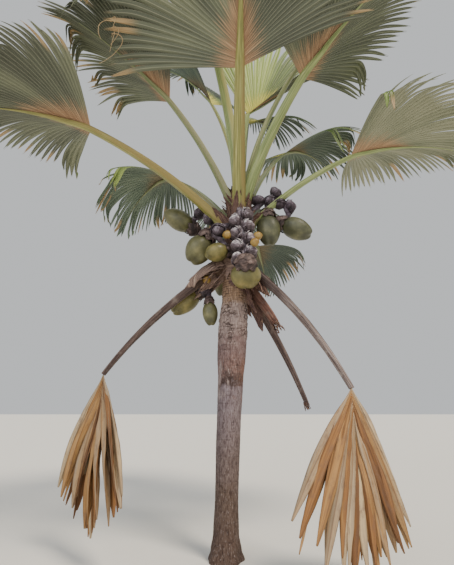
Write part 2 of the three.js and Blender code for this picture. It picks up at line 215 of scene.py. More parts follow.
def trunk_relief(angle, z):
    """How far the skin stands out at a place on the trunk, and how deep in a crack or scar it lies."""
    x, y, _ = around(angle, trunk_radius(z))
    young = smooth((z - YOUNG_FROM) / 0.3)
    flaking = smooth((z - FLAKING_FROM) / 0.3) * (1 - 0.8 * young) + 0.12 * smooth((z - 0.4) / 1.6)
    # the scars wander a little as they go round
    wander = z + 0.012 * bumps(7 * x, 7 * y, 3 * z)
    after = bisect.bisect(scar_heights, wander)
    near = min(abs(wander - h) for h in scar_heights[max(after - 1, 0) : after + 1])
    scar = math.exp(-((near / SCAR_WIDTH) ** 2)) * lerp(0.55, 1.1, young)
    # short cracks run up the fibre where the noise crosses zero, in patches, and fewer where it is young
    grain = bumps(x / CRACK_SIZE[0], y / CRACK_SIZE[0], z / CRACK_SIZE[1])
    patchy = smooth(0.4 + 1.8 * bumps(5 * x + 3, 5 * y + 1, 2.1 * z))
    crack = max(0.0, 1 - abs(grain) / 0.08) * (1 - 0.9 * young) * lerp(0.1, 0.8, patchy)
    crack *= lerp(0.5, 1.0, smooth((z - 0.9) / 0.9))
    # plates of old skin that have lifted or dropped off, wider than they are tall
    warp = 0.5 * bumps(16 * x, 16 * y + 7, 14 * z)
    place = Vector((x / PLATE_SIZE[0] + warp, y / PLATE_SIZE[0], z / PLATE_SIZE[1] + warp))
    distances, sites = noise.voronoi(place)
    torn = smooth(0.66 + 1.8 * bumps(9 * x + 1, 9 * y + 4, 8 * z))
    plate_edge = smooth(1 - (distances[1] - distances[0]) / 0.22) * torn * flaking
    plate = noise.cell(sites[0] * 3.1) * flaking
    out = SWELL_DEPTH * bumps(6 * x + 5, 6 * y, 1.3 * z)
    out += FIBRE_DEPTH * bumps(x / FIBRE_SIZE[0], y / FIBRE_SIZE[0], z / FIBRE_SIZE[1])
    out += BUTTRESS_DEPTH * max(0.0, 1 - z / BUTTRESS_TOP) ** 2 * math.sin(5 * angle + 0.8)
    out += PLATE_DEPTH * (0.5 * plate - 0.6 * plate_edge)
    out -= SCAR_DEPTH * scar + CRACK_DEPTH * crack
    return out, min(1.0, 0.7 * scar + 0.9 * crack + 0.8 * plate_edge)


bm = new_bmesh("hollow")
hollow = bm.verts.layers.float["hollow"]
rows = add_grid(bm, TRUNK_SIDES, TRUNK_RINGS)
for k, row in enumerate(rows):
    height = TRUNK_HEIGHT * k / TRUNK_RINGS
    for i, point in enumerate(row):
        angle = 2 * math.pi * (i % TRUNK_SIDES) / TRUNK_SIDES
        out, point[hollow] = trunk_relief(angle, height)
        point.co = trunk_axis(height) + around(angle, trunk_radius(height) + out)
close_round(bm, rows)

# Palm stem skin: dead fibre weathered by sun and rain. Dull and dry all over: grey-purple with upright
# streaks low down and darker towards the foot, which is painted shade, with painted shade in its cracks,
# rust-brown and pale bare bands higher up, tan where it is young.
# the colour at each height; below 1.7 m the bands darken towards the foot, which is painted shade
STEM_BANDS = [
    (0.0, 0x5B4C44), (0.6, 0x66584F), (1.2, 0x7B6F6E), (1.7, 0x8A7F84), (1.8, 0x50433F), (1.95, 0x89716B),
    (2.2, 0x806D6B), (2.42, 0xAB9B95), (2.72, 0xB5A49B), (2.88, 0xA58C73), (3.4, 0x8A705A),
]
stem_skin, tree = new_material("weathered palm stem")
place = add_node(tree, "TexCoord")["Object"]
spot = add_node(tree, "SeparateXYZ", {0: place})
# the bands' edges wander by 200 mm
blotch = add_node(tree, "TexNoise", {"Vector": place, "Scale": 4.2, "Detail": 6, "Roughness": 0.65})[0]
wander = add_node(tree, "MapRange", {0: blotch, 1: 0.3, 2: 0.7, 3: -0.2, 4: 0.2})
level = add_node(tree, "Math", {0: spot["Z"], 1: wander[0]}, operation="ADD")
share = add_node(tree, "MapRange", {0: level[0], 1: 0.0, 2: TRUNK_HEIGHT, 3: 0.0, 4: 1.0})
bands = [(height / TRUNK_HEIGHT, hex_value) for height, hex_value in STEM_BANDS]
skin = add_node(tree, "ValToRGB", {0: share[0]}, bands)
# rust-brown on the side that the sun reaches, between 1.5 m and 2.2 m, and a pale bare streak opposite
sunny = add_node(tree, "MapRange", {0: spot["X"], 1: 0.0, 2: 0.2, 3: -0.12, 4: 0.14})
upper_end = add_node(tree, "MapRange", {0: spot["Z"], 1: 2.0, 2: 2.35, 3: 0.0, 4: -0.3})
lower_end = add_node(tree, "MapRange", {0: spot["Z"], 1: 1.35, 2: 1.65, 3: -0.3, 4: 0.0})
ends = add_node(tree, "Math", {0: upper_end[0], 1: lower_end[0]}, operation="ADD")
side = add_node(tree, "Math", {0: ends[0], 1: sunny[0]}, operation="ADD")
rust_sum = add_node(tree, "Math", {0: side[0], 1: blotch}, operation="ADD")
rust = add_node(tree, "MapRange", {0: rust_sum[0], 1: 0.48, 2: 0.66, 3: 0.0, 4: 0.5})
skin = add_node(tree, "Mix", {0: rust[0], 6: skin[0], 7: 0x8E6550}, data_type="RGBA")
patches = drawn_out(tree, place, (9, 9, 2.6), detail=8, roughness=0.75)
far_side = add_node(tree, "MapRange", {0: spot["X"], 1: -0.12, 2: 0.12, 3: 0.13, 4: -0.02})
side = add_node(tree, "Math", {0: far_side[0], 1: ends[0]}, operation="ADD")
patch_sum = add_node(tree, "Math", {0: patches, 1: side[0]}, operation="ADD")
bare = add_node(tree, "MapRange", {0: patch_sum[0], 1: 0.58, 2: 0.63, 3: 0.0, 4: 0.75})
skin = add_node(tree, "Mix", {0: bare[0], 6: skin[2], 7: 0xA89C98}, data_type="RGBA")
# short upright streaks, 15 mm wide and 70 mm tall, darken and lighten it all
streaks = drawn_out(tree, place, (62, 62, 14), detail=8, roughness=0.72)
shades = [(0.34, 0x867A7B), (0.45, 0xC2B9B8), (0.53, 0xE4DEDD), (0.66, 0xFFFFFF)]
light = add_node(tree, "ValToRGB", {0: streaks}, shades)
inputs = {0: 1.0, 6: skin[2], 7: light[0]}
skin = add_node(tree, "Mix", inputs, data_type="RGBA", blend_type="MULTIPLY")
# pale lichen, in upright specks 9 mm wide
specks = drawn_out(tree, place, (110, 110, 30), detail=3)
speckled = add_node(tree, "MapRange", {0: specks, 1: 0.58, 2: 0.7, 3: 0.0, 4: 0.3})
skin = add_node(tree, "Mix", {0: speckled[0], 6: skin[2], 7: 0xB3AAA8}, data_type="RGBA")
# painted shade in the cracks, scars and plate edges, and fibres 4 mm wide, coarser than the
# real ones so that they show
depth = add_node(tree, "Attribute", attribute_name="hollow")
painted_crack_shade = add_node(tree, "MapRange", {0: depth["Fac"], 1: 0.15, 2: 0.9, 3: 0.0, 4: 0.8})
skin = add_node(tree, "Mix", {0: painted_crack_shade[0], 6: skin[2], 7: 0x2B201B}, data_type="RGBA")
fibre = drawn_out(tree, place, (260, 260, 14), detail=4)
finish_material(tree, skin[2], 0.92, fibre, strength=0.8, depth=0.004, specular=0.25)
make_piece(bm, "trunk_column", "trunk", [stem_skin])


# Live leaf stalks
# Each live leaf stands on one stout petiole, a solid limb of green fibre with a shallow channel on its
# upper side. Its foot clasps the stem, and past its tip it runs on under the fan as a tapering rib.

# width and depth of a petiole at its foot, at its neck and at its tip
LIVE_STEM = {"foot": (0.27, 0.12), "neck": (0.16, 0.092), "tip": (0.108, 0.06)}
# where the neck is, and how far the stalk bows, as shares of its length
NECK_AT = 0.25
STEM_BOW = 0.055
STEM_SIDES = 28
STEM_RINGS = 84
# how much of the fan's length the rib bends through, and how far along the middle fold it then runs on
RIB_SHARE = 0.3
RIB_END = 0.62
RIB_STEPS = 24
RIB_TIP = 0.009
# a fan's lines bend more towards their ends, and they leave the rib closer together near its start
BEND_STEPS = 24
BEND_POWER = 1.6
BEND_GAIN = 2.2
WEB_STIFFNESS = 0.35
RIB_CROWDING = 1.3
# turn: compass angle from +X. rise: angle over the level. reach: the petiole's length. foot: height where
# it leaves the stem. girth: how stout it is. blade: the fan's length. left, right: the angles it opens to.
# fold: how far its sides lift. curl, sag: how far it bends back and hangs. swing: how far it turns aside.
# shorter: how much shorter its sides are than its middle. hanging, dry: share of its tips that are broken
# and hang, and that have dried. dry_pleats: more dried ones, counted from its left edge. split: where its
# pleats come apart, as a share of their length. pleats: how many it has. skin: the colour of the stalk.
USUAL_LEAF = dict(bow=STEM_BOW, shorter=0.3, swing=0, dry_pleats=(), split=0.62, pleats=61)
LIVE_LEAVES = [
    dict(
        name="front", turn=-90, rise=57.5, reach=1.93, foot=3.83, girth=1.14, blade=2.05, left=89, right=66,
        fold=12, curl=0.5, sag=0.5, shorter=0.2, hanging=0.04, dry=0.1, dry_pleats=(0, 5, 6), skin="golden",
    ),
    dict(
        name="front_left", turn=-123, rise=75, reach=2.23, foot=3.96, girth=1.1, blade=1.8, left=45, right=45,
        fold=28, curl=0.3, sag=0.5, hanging=0.03, dry=0.05, skin="green",
    ),
    dict(
        name="left_upper", turn=-155, rise=58, reach=1.93, foot=3.84, girth=0.9, blade=2.0, left=54, right=55,
        fold=16, curl=0.4, sag=0.5, shorter=0.1, hanging=0.25, dry=0.4, skin="shaded",
    ),
    dict(
        name="left_lower", turn=-162, rise=33, reach=2.33, foot=3.64, girth=1.15, blade=2.0, left=75,
        right=70, fold=18, curl=0.3, sag=1, hanging=0.12, dry=0.1, skin="golden",
    ),
    dict(
        name="back_left_upper", turn=150, rise=77, reach=2.07, foot=3.98, girth=0.85, blade=1.9, left=62,
        right=72, fold=20, curl=0.4, sag=0.8, hanging=0.3, dry=0.15, skin="green",
    ),
    dict(
        name="back_left_lower", turn=135, rise=45, reach=2.1, foot=3.7, girth=0.95, blade=1.95, left=56,
        right=88, fold=4, curl=0.4, sag=2.1, hanging=0.8, dry=0.15, split=0.42, pleats=46, skin="shaded",
    ),
    dict(
        name="right_upper", turn=-38, rise=60, reach=2.09, foot=3.86, girth=1.2, blade=2.15, left=75,
        right=66, fold=16, curl=0.4, sag=0.6, hanging=0.06, dry=0.08, skin="green",
    ),
    dict(
        name="right_lower", turn=-1, rise=38, reach=2.0, foot=3.66, girth=0.95, blade=2.0, left=75, right=75,
        fold=18, curl=0.3, sag=1, hanging=0.15, dry=0.1, skin="green",
    ),
    dict(
        name="right_inner", turn=-9, rise=70, reach=2.45, foot=3.96, girth=0.9, blade=1.8, left=50, right=40,
        fold=26, curl=0.4, sag=0.5, hanging=0.08, dry=0.05, skin="shaded",
    ),
    dict(
        name="back_right", turn=46, rise=58, reach=2.0, foot=3.76, girth=0.9, blade=1.85, left=80, right=80,
        fold=10, curl=0.4, sag=1.4, hanging=0.5, dry=0.22, split=0.5, pleats=46, skin="shaded",
    ),
    dict(
        name="back_upper", turn=71, rise=77, reach=2.03, foot=4.0, girth=0.85, blade=2.0, left=38, right=75,
        fold=34, curl=0.1, sag=0.4, swing=-40, hanging=0.03, dry=0.05, pleats=38, skin="green",
    ),
    dict(
        name="back", turn=80, rise=67, reach=2.45, foot=3.92, girth=0.9, blade=1.75, left=66, right=34,
        fold=10, curl=0.5, sag=1.3, swing=-16, hanging=0.05, dry=0.06, split=0.48, pleats=40, skin="shaded",
    ),
    dict(
        name="back_low", turn=92, rise=37, reach=2.05, foot=3.68, girth=0.9, blade=1.65, left=75, right=46,
        fold=10, curl=0.4, sag=1.4, hanging=0.3, dry=0.2, skin="shaded",
    ),
    dict(
        name="back_lowest", turn=76, rise=23, reach=1.5, foot=3.52, girth=0.9, blade=1.35, left=80, right=80,
        fold=6, curl=0.3, sag=1.5, hanging=0.35, dry=0.2, pleats=44, skin="shaded",
    ),
]
LIVE_LEAVES = [USUAL_LEAF | leaf for leaf in LIVE_LEAVES]
UP = Vector((0, 0, 1))


def outward(turn, rise):
    t, r = math.radians(turn), math.radians(rise)
    return Vector((math.cos(r) * math.cos(t), math.cos(r) * math.sin(t), math.sin(r)))


def stem_frame(leaf, t):
    """The middle of a petiole at a share of its length, and the ways along it, level across it and above."""
    foot = trunk_axis(leaf["foot"])
    along = outward(leaf["turn"], leaf["rise"])
    over = outward(leaf["turn"], leaf["rise"] + 90)
    end = foot + along * leaf["reach"]
    bow = foot + along * leaf["reach"] / 2 + over * 2 * leaf["bow"] * leaf["reach"]
    middle = foot * (1 - t) ** 2 + bow * 2 * t * (1 - t) + end * t**2
    along = ((bow - foot) * (1 - t) + (end - bow) * t).normalized()
    across = outward(leaf["turn"] + 90, 0)
    return middle, along, across, along.cross(across).normalized()


def stem_size(t, stem, girth):
    """The width and depth of a petiole at a share of its length."""
    foot, neck, tip = (Vector(stem[station]) for station in ("foot", "neck", "tip"))
    if t < NECK_AT:
        return foot.lerp(neck * girth, smooth(t / NECK_AT))
    return (neck * girth).lerp(tip * girth, (t - NECK_AT) / (1 - NECK_AT))


def fan_frame(leaf):
    """The ways along, across and above a fan where it leaves its petiole."""
    if "twist" in leaf:
        along = -UP
        across = outward(leaf["turn"] + 90 + leaf["twist"], 0)
        return along, across, along.cross(across)
    middle, along, across, above = stem_frame(leaf, 1)
    swing = math.radians(leaf["swing"])
    turned = along * math.cos(swing) + above.cross(along) * math.sin(swing)
    aside = across * math.cos(swing) + above.cross(across) * math.sin(swing)
    return turned, aside, above


def bent_line(start, heading, above, length, leaf, stiffness):
    """A line that starts straight and then bends, more and more, to its back and down."""
    points, headings = [start], [heading]
    step = length / BEND_STEPS
    for i in range(BEND_STEPS):
        points.append(points[i] + headings[i] * step)
        growing = BEND_GAIN * ((i + 1) / BEND_STEPS) ** BEND_POWER
        give = step / leaf["blade"] * (stiffness + (1 - stiffness) * growing)
        way = headings[i] - above * leaf["curl"] * give - UP * leaf["sag"] * give
        headings.append(way.normalized())
    return points, headings


def at(line, share):
    """The value of a list between its entries."""
    x = min(share, 0.9999) * (len(line) - 1)
    return line[int(x)].lerp(line[int(x) + 1], x - int(x))


def fan_rib(leaf):
    middle, along, across, above = stem_frame(leaf, 1)
    fan = fan_frame(leaf)
    return bent_line(middle + along * 0.0003, fan[0], fan[2], RIB_SHARE * leaf["blade"], leaf, 1)


def fan_line(leaf, rib, u):
    """The fold at u, from -1 on the left edge of a fan to 1 on its right edge."""
    along, across, above = fan_frame(leaf)
    angle = math.radians(u * leaf["left"] if u < 0 else u * leaf["right"])
    lift = math.radians(leaf["fold"])
    share = (1 - abs(u)) ** RIB_CROWDING
    along = at(rib[1], share).normalized()
    above = along.cross(across).normalized()
    heading = along * math.cos(angle) + across * math.sin(angle) * math.cos(lift)
    heading += above * abs(math.sin(angle)) * math.sin(lift)
    shorter = leaf["shorter"] * abs(u) ** 1.5
    length = leaf["blade"] * (1 - shorter - RIB_SHARE * share)
    points, headings = bent_line(at(rib[0], share), heading, above, length, leaf, WEB_STIFFNESS)
    return points, headings, above, length


def stem_outline(i):
    """A point on the petiole's section, as shares of its width and depth: half oval, channelled on top."""
    angle = 2 * math.pi * i / STEM_SIDES
    x, y = math.cos(angle) / 2, math.sin(angle)
    if y < 0:
        return x, 0.3 + 0.76 * y
    return x, 0.3 - 0.13 * y**0.6


def sweep_stem(bm, stations):
    """A closed limb through stations of middle, across, above, width, depth and unevenness."""
    laid_straight = bm.verts.layers.float_vector["laid_straight"]
    rows = add_grid(bm, STEM_SIDES, len(stations) - 1)
    travelled = 0.0
    for k, (middle, across, above, width, depth, uneven) in enumerate(stations):
        travelled += (middle - stations[max(k - 1, 0)][0]).length
        for i, point in enumerate(rows[k]):
            x, y = stem_outline(i % STEM_SIDES)
            swell = 1 + uneven * bumps(9 * x, 9 * y, 1.3 * travelled)
            swell += 0.5 * uneven * bumps(30 * x, 30 * y, 5 * travelled)
            point.co = middle + across * x * width * swell + above * y * depth * swell
            point[laid_straight] = (x * width, y * depth, travelled)
    close_round(bm, rows)


def petiole_stations(leaf, stem, rings, uneven):
    stations = []
    for k in range(rings + 1):
        t = k / rings
        middle, along, across, above = stem_frame(leaf, t)
        # scaly unevenness at the clasping foot, and next to none on the stalk
        scaly = lerp(3.5, 1.0, smooth(t / 0.3))
        stations.append((middle, across, above, *stem_size(t, stem, leaf["girth"]), scaly * uneven))
    return stations


def rib_stations(leaf, stem):
    """The petiole's run under the fan: along the fan's own rib, and then along its middle fold."""
    rib = fan_rib(leaf)
    line = fan_line(leaf, rib, 0)
    middle, along, across, above = stem_frame(leaf, 1)
    fan_across = fan_frame(leaf)[1]
    width, depth = stem_size(1, stem, leaf["girth"])
    stations = []
    for points, headings, span in ((rib[0], rib[1], 1.0), (line[0], line[1], RIB_END)):
        for k in range(1, RIB_STEPS + 1):
            share = k / RIB_STEPS
            beyond = 0.3 * share if points is rib[0] else 0.3 + 0.7 * share
            along = at(headings, share * span).normalized()
            aside = across.lerp(fan_across, smooth(beyond * 6)).normalized()
            over = along.cross(aside).normalized()
            wide = lerp(RIB_TIP, width, (1 - beyond) ** 2.6)
            deep = lerp(RIB_TIP, depth, (1 - beyond) ** 2)
            # it sinks below the fan, which grows from its upper side
            sunk = over * (0.75 * deep * smooth(beyond * 5))
            stations.append((at(points, share * span) - sunk, aside, over, wide, deep, 0.02))
    return stations


# Petiole skin: a living waxy rind over tough fibre. Half-glossy pale yellow-green with fine lengthwise
# streaks 10 mm wide, scuffed and scaly purple-brown at the foot where it clasps the stem.
def petiole_skin(name, streak_stops, ripe_colour):
    material, tree = new_material(name)
    laid = add_node(tree, "Attribute", attribute_name="laid_straight")["Vector"]
    spot = add_node(tree, "SeparateXYZ", {0: laid})
    streaks = drawn_out(tree, laid, (95, 95, 1.6), detail=6, roughness=0.6)
    skin = add_node(tree, "ValToRGB", {0: streaks}, streak_stops)
    # broad soft patches, and one flank that the sun has ripened
    broad = add_node(tree, "TexNoise", {"Vector": laid, "Scale": 3.0, "Detail": 3})
    flank = add_node(tree, "MapRange", {0: spot["X"], 1: -0.01, 2: 0.05, 3: -0.1, 4: 0.45})
    ripe_sum = add_node(tree, "Math", {0: broad[0], 1: flank[0]}, operation="ADD")
    inputs = {0: ripe_sum[0], 1: 0.6, 2: 0.95, 3: 0.0, 4: 0.8}
    ripe = add_node(tree, "MapRange", inputs, interpolation_type="SMOOTHSTEP")
    skin = add_node(tree, "Mix", {0: ripe[0], 6: skin[0], 7: ripe_colour}, data_type="RGBA")
    # purple-brown scurf that thins out over the first 0.6 m
    scurf = drawn_out(tree, laid, (30, 30, 7), detail=6, roughness=0.7)
    fade = add_node(tree, "MapRange", {0: spot["Z"], 1: 0.16, 2: 0.6, 3: 0.5, 4: -0.25})
    scurf_sum = add_node(tree, "Math", {0: scurf, 1: fade[0]}, operation="ADD")
    scurfy = add_node(tree, "MapRange", {0: scurf_sum[0], 1: 0.62, 2: 0.86, 3: 0.0, 4: 0.92})
    browns = [(0.35, 0x3E2C2C), (0.5, 0x5E4543), (0.65, 0x8A6B5B)]
    brown = add_node(tree, "ValToRGB", {0: scurf}, browns)
    skin = add_node(tree, "Mix", {0: scurfy[0], 6: skin[2], 7: brown[0]}, data_type="RGBA")
    dull = add_node(tree, "MapRange", {0: scurfy[0], 1: 0.0, 2: 1.0, 3: 0.42, 4: 0.85})
    finish_material(tree, skin[2], dull[0], streaks, strength=0.45, depth=0.003)
    return material


petiole_skins = {
    "green": petiole_skin(
        "green petiole rind",
        [(0.32, 0x63713F), (0.46, 0x7E8C53), (0.56, 0x939F65), (0.7, 0xB4B883)],
        0xA29C5E,
    ),
    "golden": petiole_skin(
        "sun-ripened petiole rind",
        [(0.32, 0x636431), (0.46, 0x818043), (0.56, 0x989553), (0.7, 0xB7B074)],
        0x8F7C44,
    ),
    "shaded": petiole_skin(
        "shaded petiole rind",
        [(0.32, 0x56643E), (0.46, 0x707B51), (0.56, 0x868B61), (0.7, 0xA19C7A)],
        0x83805C,
    ),
}
for leaf in LIVE_LEAVES:
    bm = new_bmesh("laid_straight")
    stations = petiole_stations(leaf, LIVE_STEM, STEM_RINGS, uneven=0.03)
    sweep_stem(bm, stations + rib_stations(leaf, LIVE_STEM))
    skin = petiole_skins[leaf["skin"]]
    make_piece(bm, f"stalk_{leaf['name']}", f"petiole_{leaf['name']}", [skin])


# Torn sheaths
# The papery edges of the leaf feet, which split as the stem grows and stay between the stalks as dry,
# purple-brown scales with ragged ends and loose threads.
SHEATH_COLUMNS = 6
SHEATH_ROWS = 14
SHEATH_THICKNESS = 0.003
CLASP_COLUMNS = 40
CLASP_ROWS = 10
# how far a clasp stands off the stem at its lower rim, and how much further at its upper one
CLASP_GAP = 0.012
CLASP_FLARE = 0.035


def grid_points(bm, columns, rows):
    """Adds a flat net. Gives each point's column, its place across from -1 to 1, its share along, and it."""
    for k, row in enumerate(add_grid(bm, columns, rows)):
        for i, point in enumerate(row):
            yield i, 2 * i / columns - 1, k / rows, point


def thicken(piece, thickness, under=0):
    """Gives the sheets of a piece a thickness, which closes them, with a material of its own below."""
    shell = piece.modifiers.new("sheet thickness", "SOLIDIFY")
    shell.thickness = thickness
    shell.offset = -1
    shell.material_offset = under
    shell.material_offset_rim = under


def add_scale(bm, foot, heading, across, length, width, seed, lean, cup=0.25):
    """A papery scale: cupped across, bent outwards along its length, with a ragged narrow end."""
    laid_straight = bm.verts.layers.float_vector["laid_straight"]
    rng = random.Random(seed)
    away = heading.cross(across).normalized()
    ragged = [rng.uniform(-0.1, 0.1) for _ in range(SHEATH_COLUMNS + 1)]
    drift = rng.uniform(-0.15, 0.15)
    for i, x, t, point in grid_points(bm, SHEATH_COLUMNS, SHEATH_ROWS):
        reach = length * t * (1 + ragged[i] * t - 0.22 * x * x * t)
        half = 0.5 * width * (1 - 0.72 * t**1.4)
        out = lean * length * t**2 - cup * half * x * x + 0.012 * bumps(4 * x, 9 * t, seed % 97)
        point.co = foot + heading * reach + across * (half * x + drift * length * t * t) + away * out
        point[laid_straight] = (half * x, seed % 7, reach)


def add_clasp(bm, turn, height, spread, tall, seed):
    """The torn edge of a leaf's foot that still clasps the stem: a wrinkled band with ragged rims."""
    laid_straight = bm.verts.layers.float_vector["laid_straight"]
    for i, x, t, point in grid_points(bm, CLASP_COLUMNS, CLASP_ROWS):
        y = t - 0.5
        angle = math.radians(turn + spread * x)
        ragged = 0.5 * bumps(7 * x, seed, 3) + 0.5 * bumps(21 * x, seed, 5)
        fade = 1 - 0.75 * abs(x) ** 1.5
        up = height + tall * (y * (fade + ragged) + 0.16 * bumps(2 * x, seed, 9))
        reach = trunk_radius(up) + CLASP_GAP + CLASP_FLARE * fade * t + 0.012 * bumps(9 * x, 3 * y, seed)
        point.co = trunk_axis(up) + around(angle, reach)
        point[laid_straight] = (up, seed, angle * 0.17)
    bmesh.ops.reverse_faces(bm, faces=bm.faces[-CLASP_COLUMNS * CLASP_ROWS :])


# Sheath paper: dead leaf sheath, torn along its fibre. Dull purple-brown to straw, with dark threads 6 mm
# wide. On the dead leaf at the left it is a paler tan, partly its own colour and partly painted light
# against the shade it hangs in.
def sheath_surface(name, stops):
    material, tree = new_material(name)
    laid = add_node(tree, "Attribute", attribute_name="laid_straight")["Vector"]
    threads = drawn_out(tree, laid, (160, 160, 5), detail=6, roughness=0.65)
    brown = add_node(tree, "ValToRGB", {0: threads}, stops)
    finish_material(tree, brown[0], 0.85, threads, strength=0.6, depth=0.003, specular=0.3)
    return material


sheath_paper = sheath_surface(
    "torn sheath paper", [(0.34, 0x2C1F1F), (0.46, 0x553F3E), (0.56, 0x7C6154), (0.68, 0xA98E70)]
)
# a paler tan copy for the dead leaf at the left, partly painted light
lightened_tan_sheath = sheath_surface(
    "tan sheath fibre with painted light", [(0.34, 0x41332F), (0.46, 0x6F5B54), (0.56, 0x947D70), (0.68, 0xC0AA95)]
)

for number, leaf in enumerate(LIVE_LEAVES):
    bm = new_bmesh("laid_straight")
    add_clasp(bm, leaf["turn"], leaf["foot"] - 0.03, spread=62, tall=0.16, seed=number * 1.7)
    # four torn scales at each edge of the foot, smaller and more splayed further out
    for side in (-1, 1):
        for step, t in enumerate((0.05, 0.08, 0.12, 0.17)):
            middle, along, across, above = stem_frame(leaf, t)
            width = stem_size(t, LIVE_STEM, leaf["girth"])[0]
            edge = middle + across * side * 0.46 * width + above * 0.01
            heading = (along + across * side * (0.12 + 0.1 * step)).normalized()
            facing = (above * 0.5 + across * 0.5 * side).normalized()
            seed = 100 * number + 10 * step + side + 1
            add_scale(bm, edge, heading, facing, 0.3 - 0.05 * step, 0.12 - 0.012 * step, seed, lean=0.15)
    piece = make_piece(bm, f"sheath_{leaf['name']}", f"petiole_{leaf['name']}", [sheath_paper])
    thicken(piece, SHEATH_THICKNESS)


# Fans
# The blade of a live leaf is one stiff leathery fan, folded into 38 to 61 pleats. They are joined for two
# fifths to two thirds of their length and end in free, forked, drooping points, with old tears between.
PLEAT_COLUMNS = 4
FAN_ROWS = 34
FAN_THICKNESS = 0.0022
# half the width of all pleats laid flat side by side, for each metre from where they start
FLAT_HALF = 1.5372
# an old tear at about every seventh pleat, and how far down it goes, as shares of the pleat's length
TEAR_EVERY = 7
TORN_FROM = (0.3, 0.5)
# where a broken flap begins to hang, and where its own pleats come apart
FLAP_FROM = (0.48, 0.78)
FLAP_SPLITS = (0.78, 0.9)
# where the end of a pleat is forked, and how narrow it then is, as a share of its full width
FORK_FROM = 0.86
POINT_WIDTH = 0.16
THREAD_ROWS = 26
THREAD_WIDTH = 0.012
# which fold each thread hangs from, how far it bows to the right, and its length
FRONT_THREADS = [
    (-0.84, 1.5, 0.66), (-0.82, 0.7, 0.4), (-0.8, -0.5, 0.42), (-0.85, 0.2, 0.5), (-0.79, 0.4, 0.3),
]


def pleat_outline(v, split):
    """How wide a pleat is on one side at a share of its length, as a share of its full width."""
    if v <= split:
        return 1.0
    return lerp(1.0, POINT_WIDTH, ((v - split) / (1 - split)) ** 1.5)


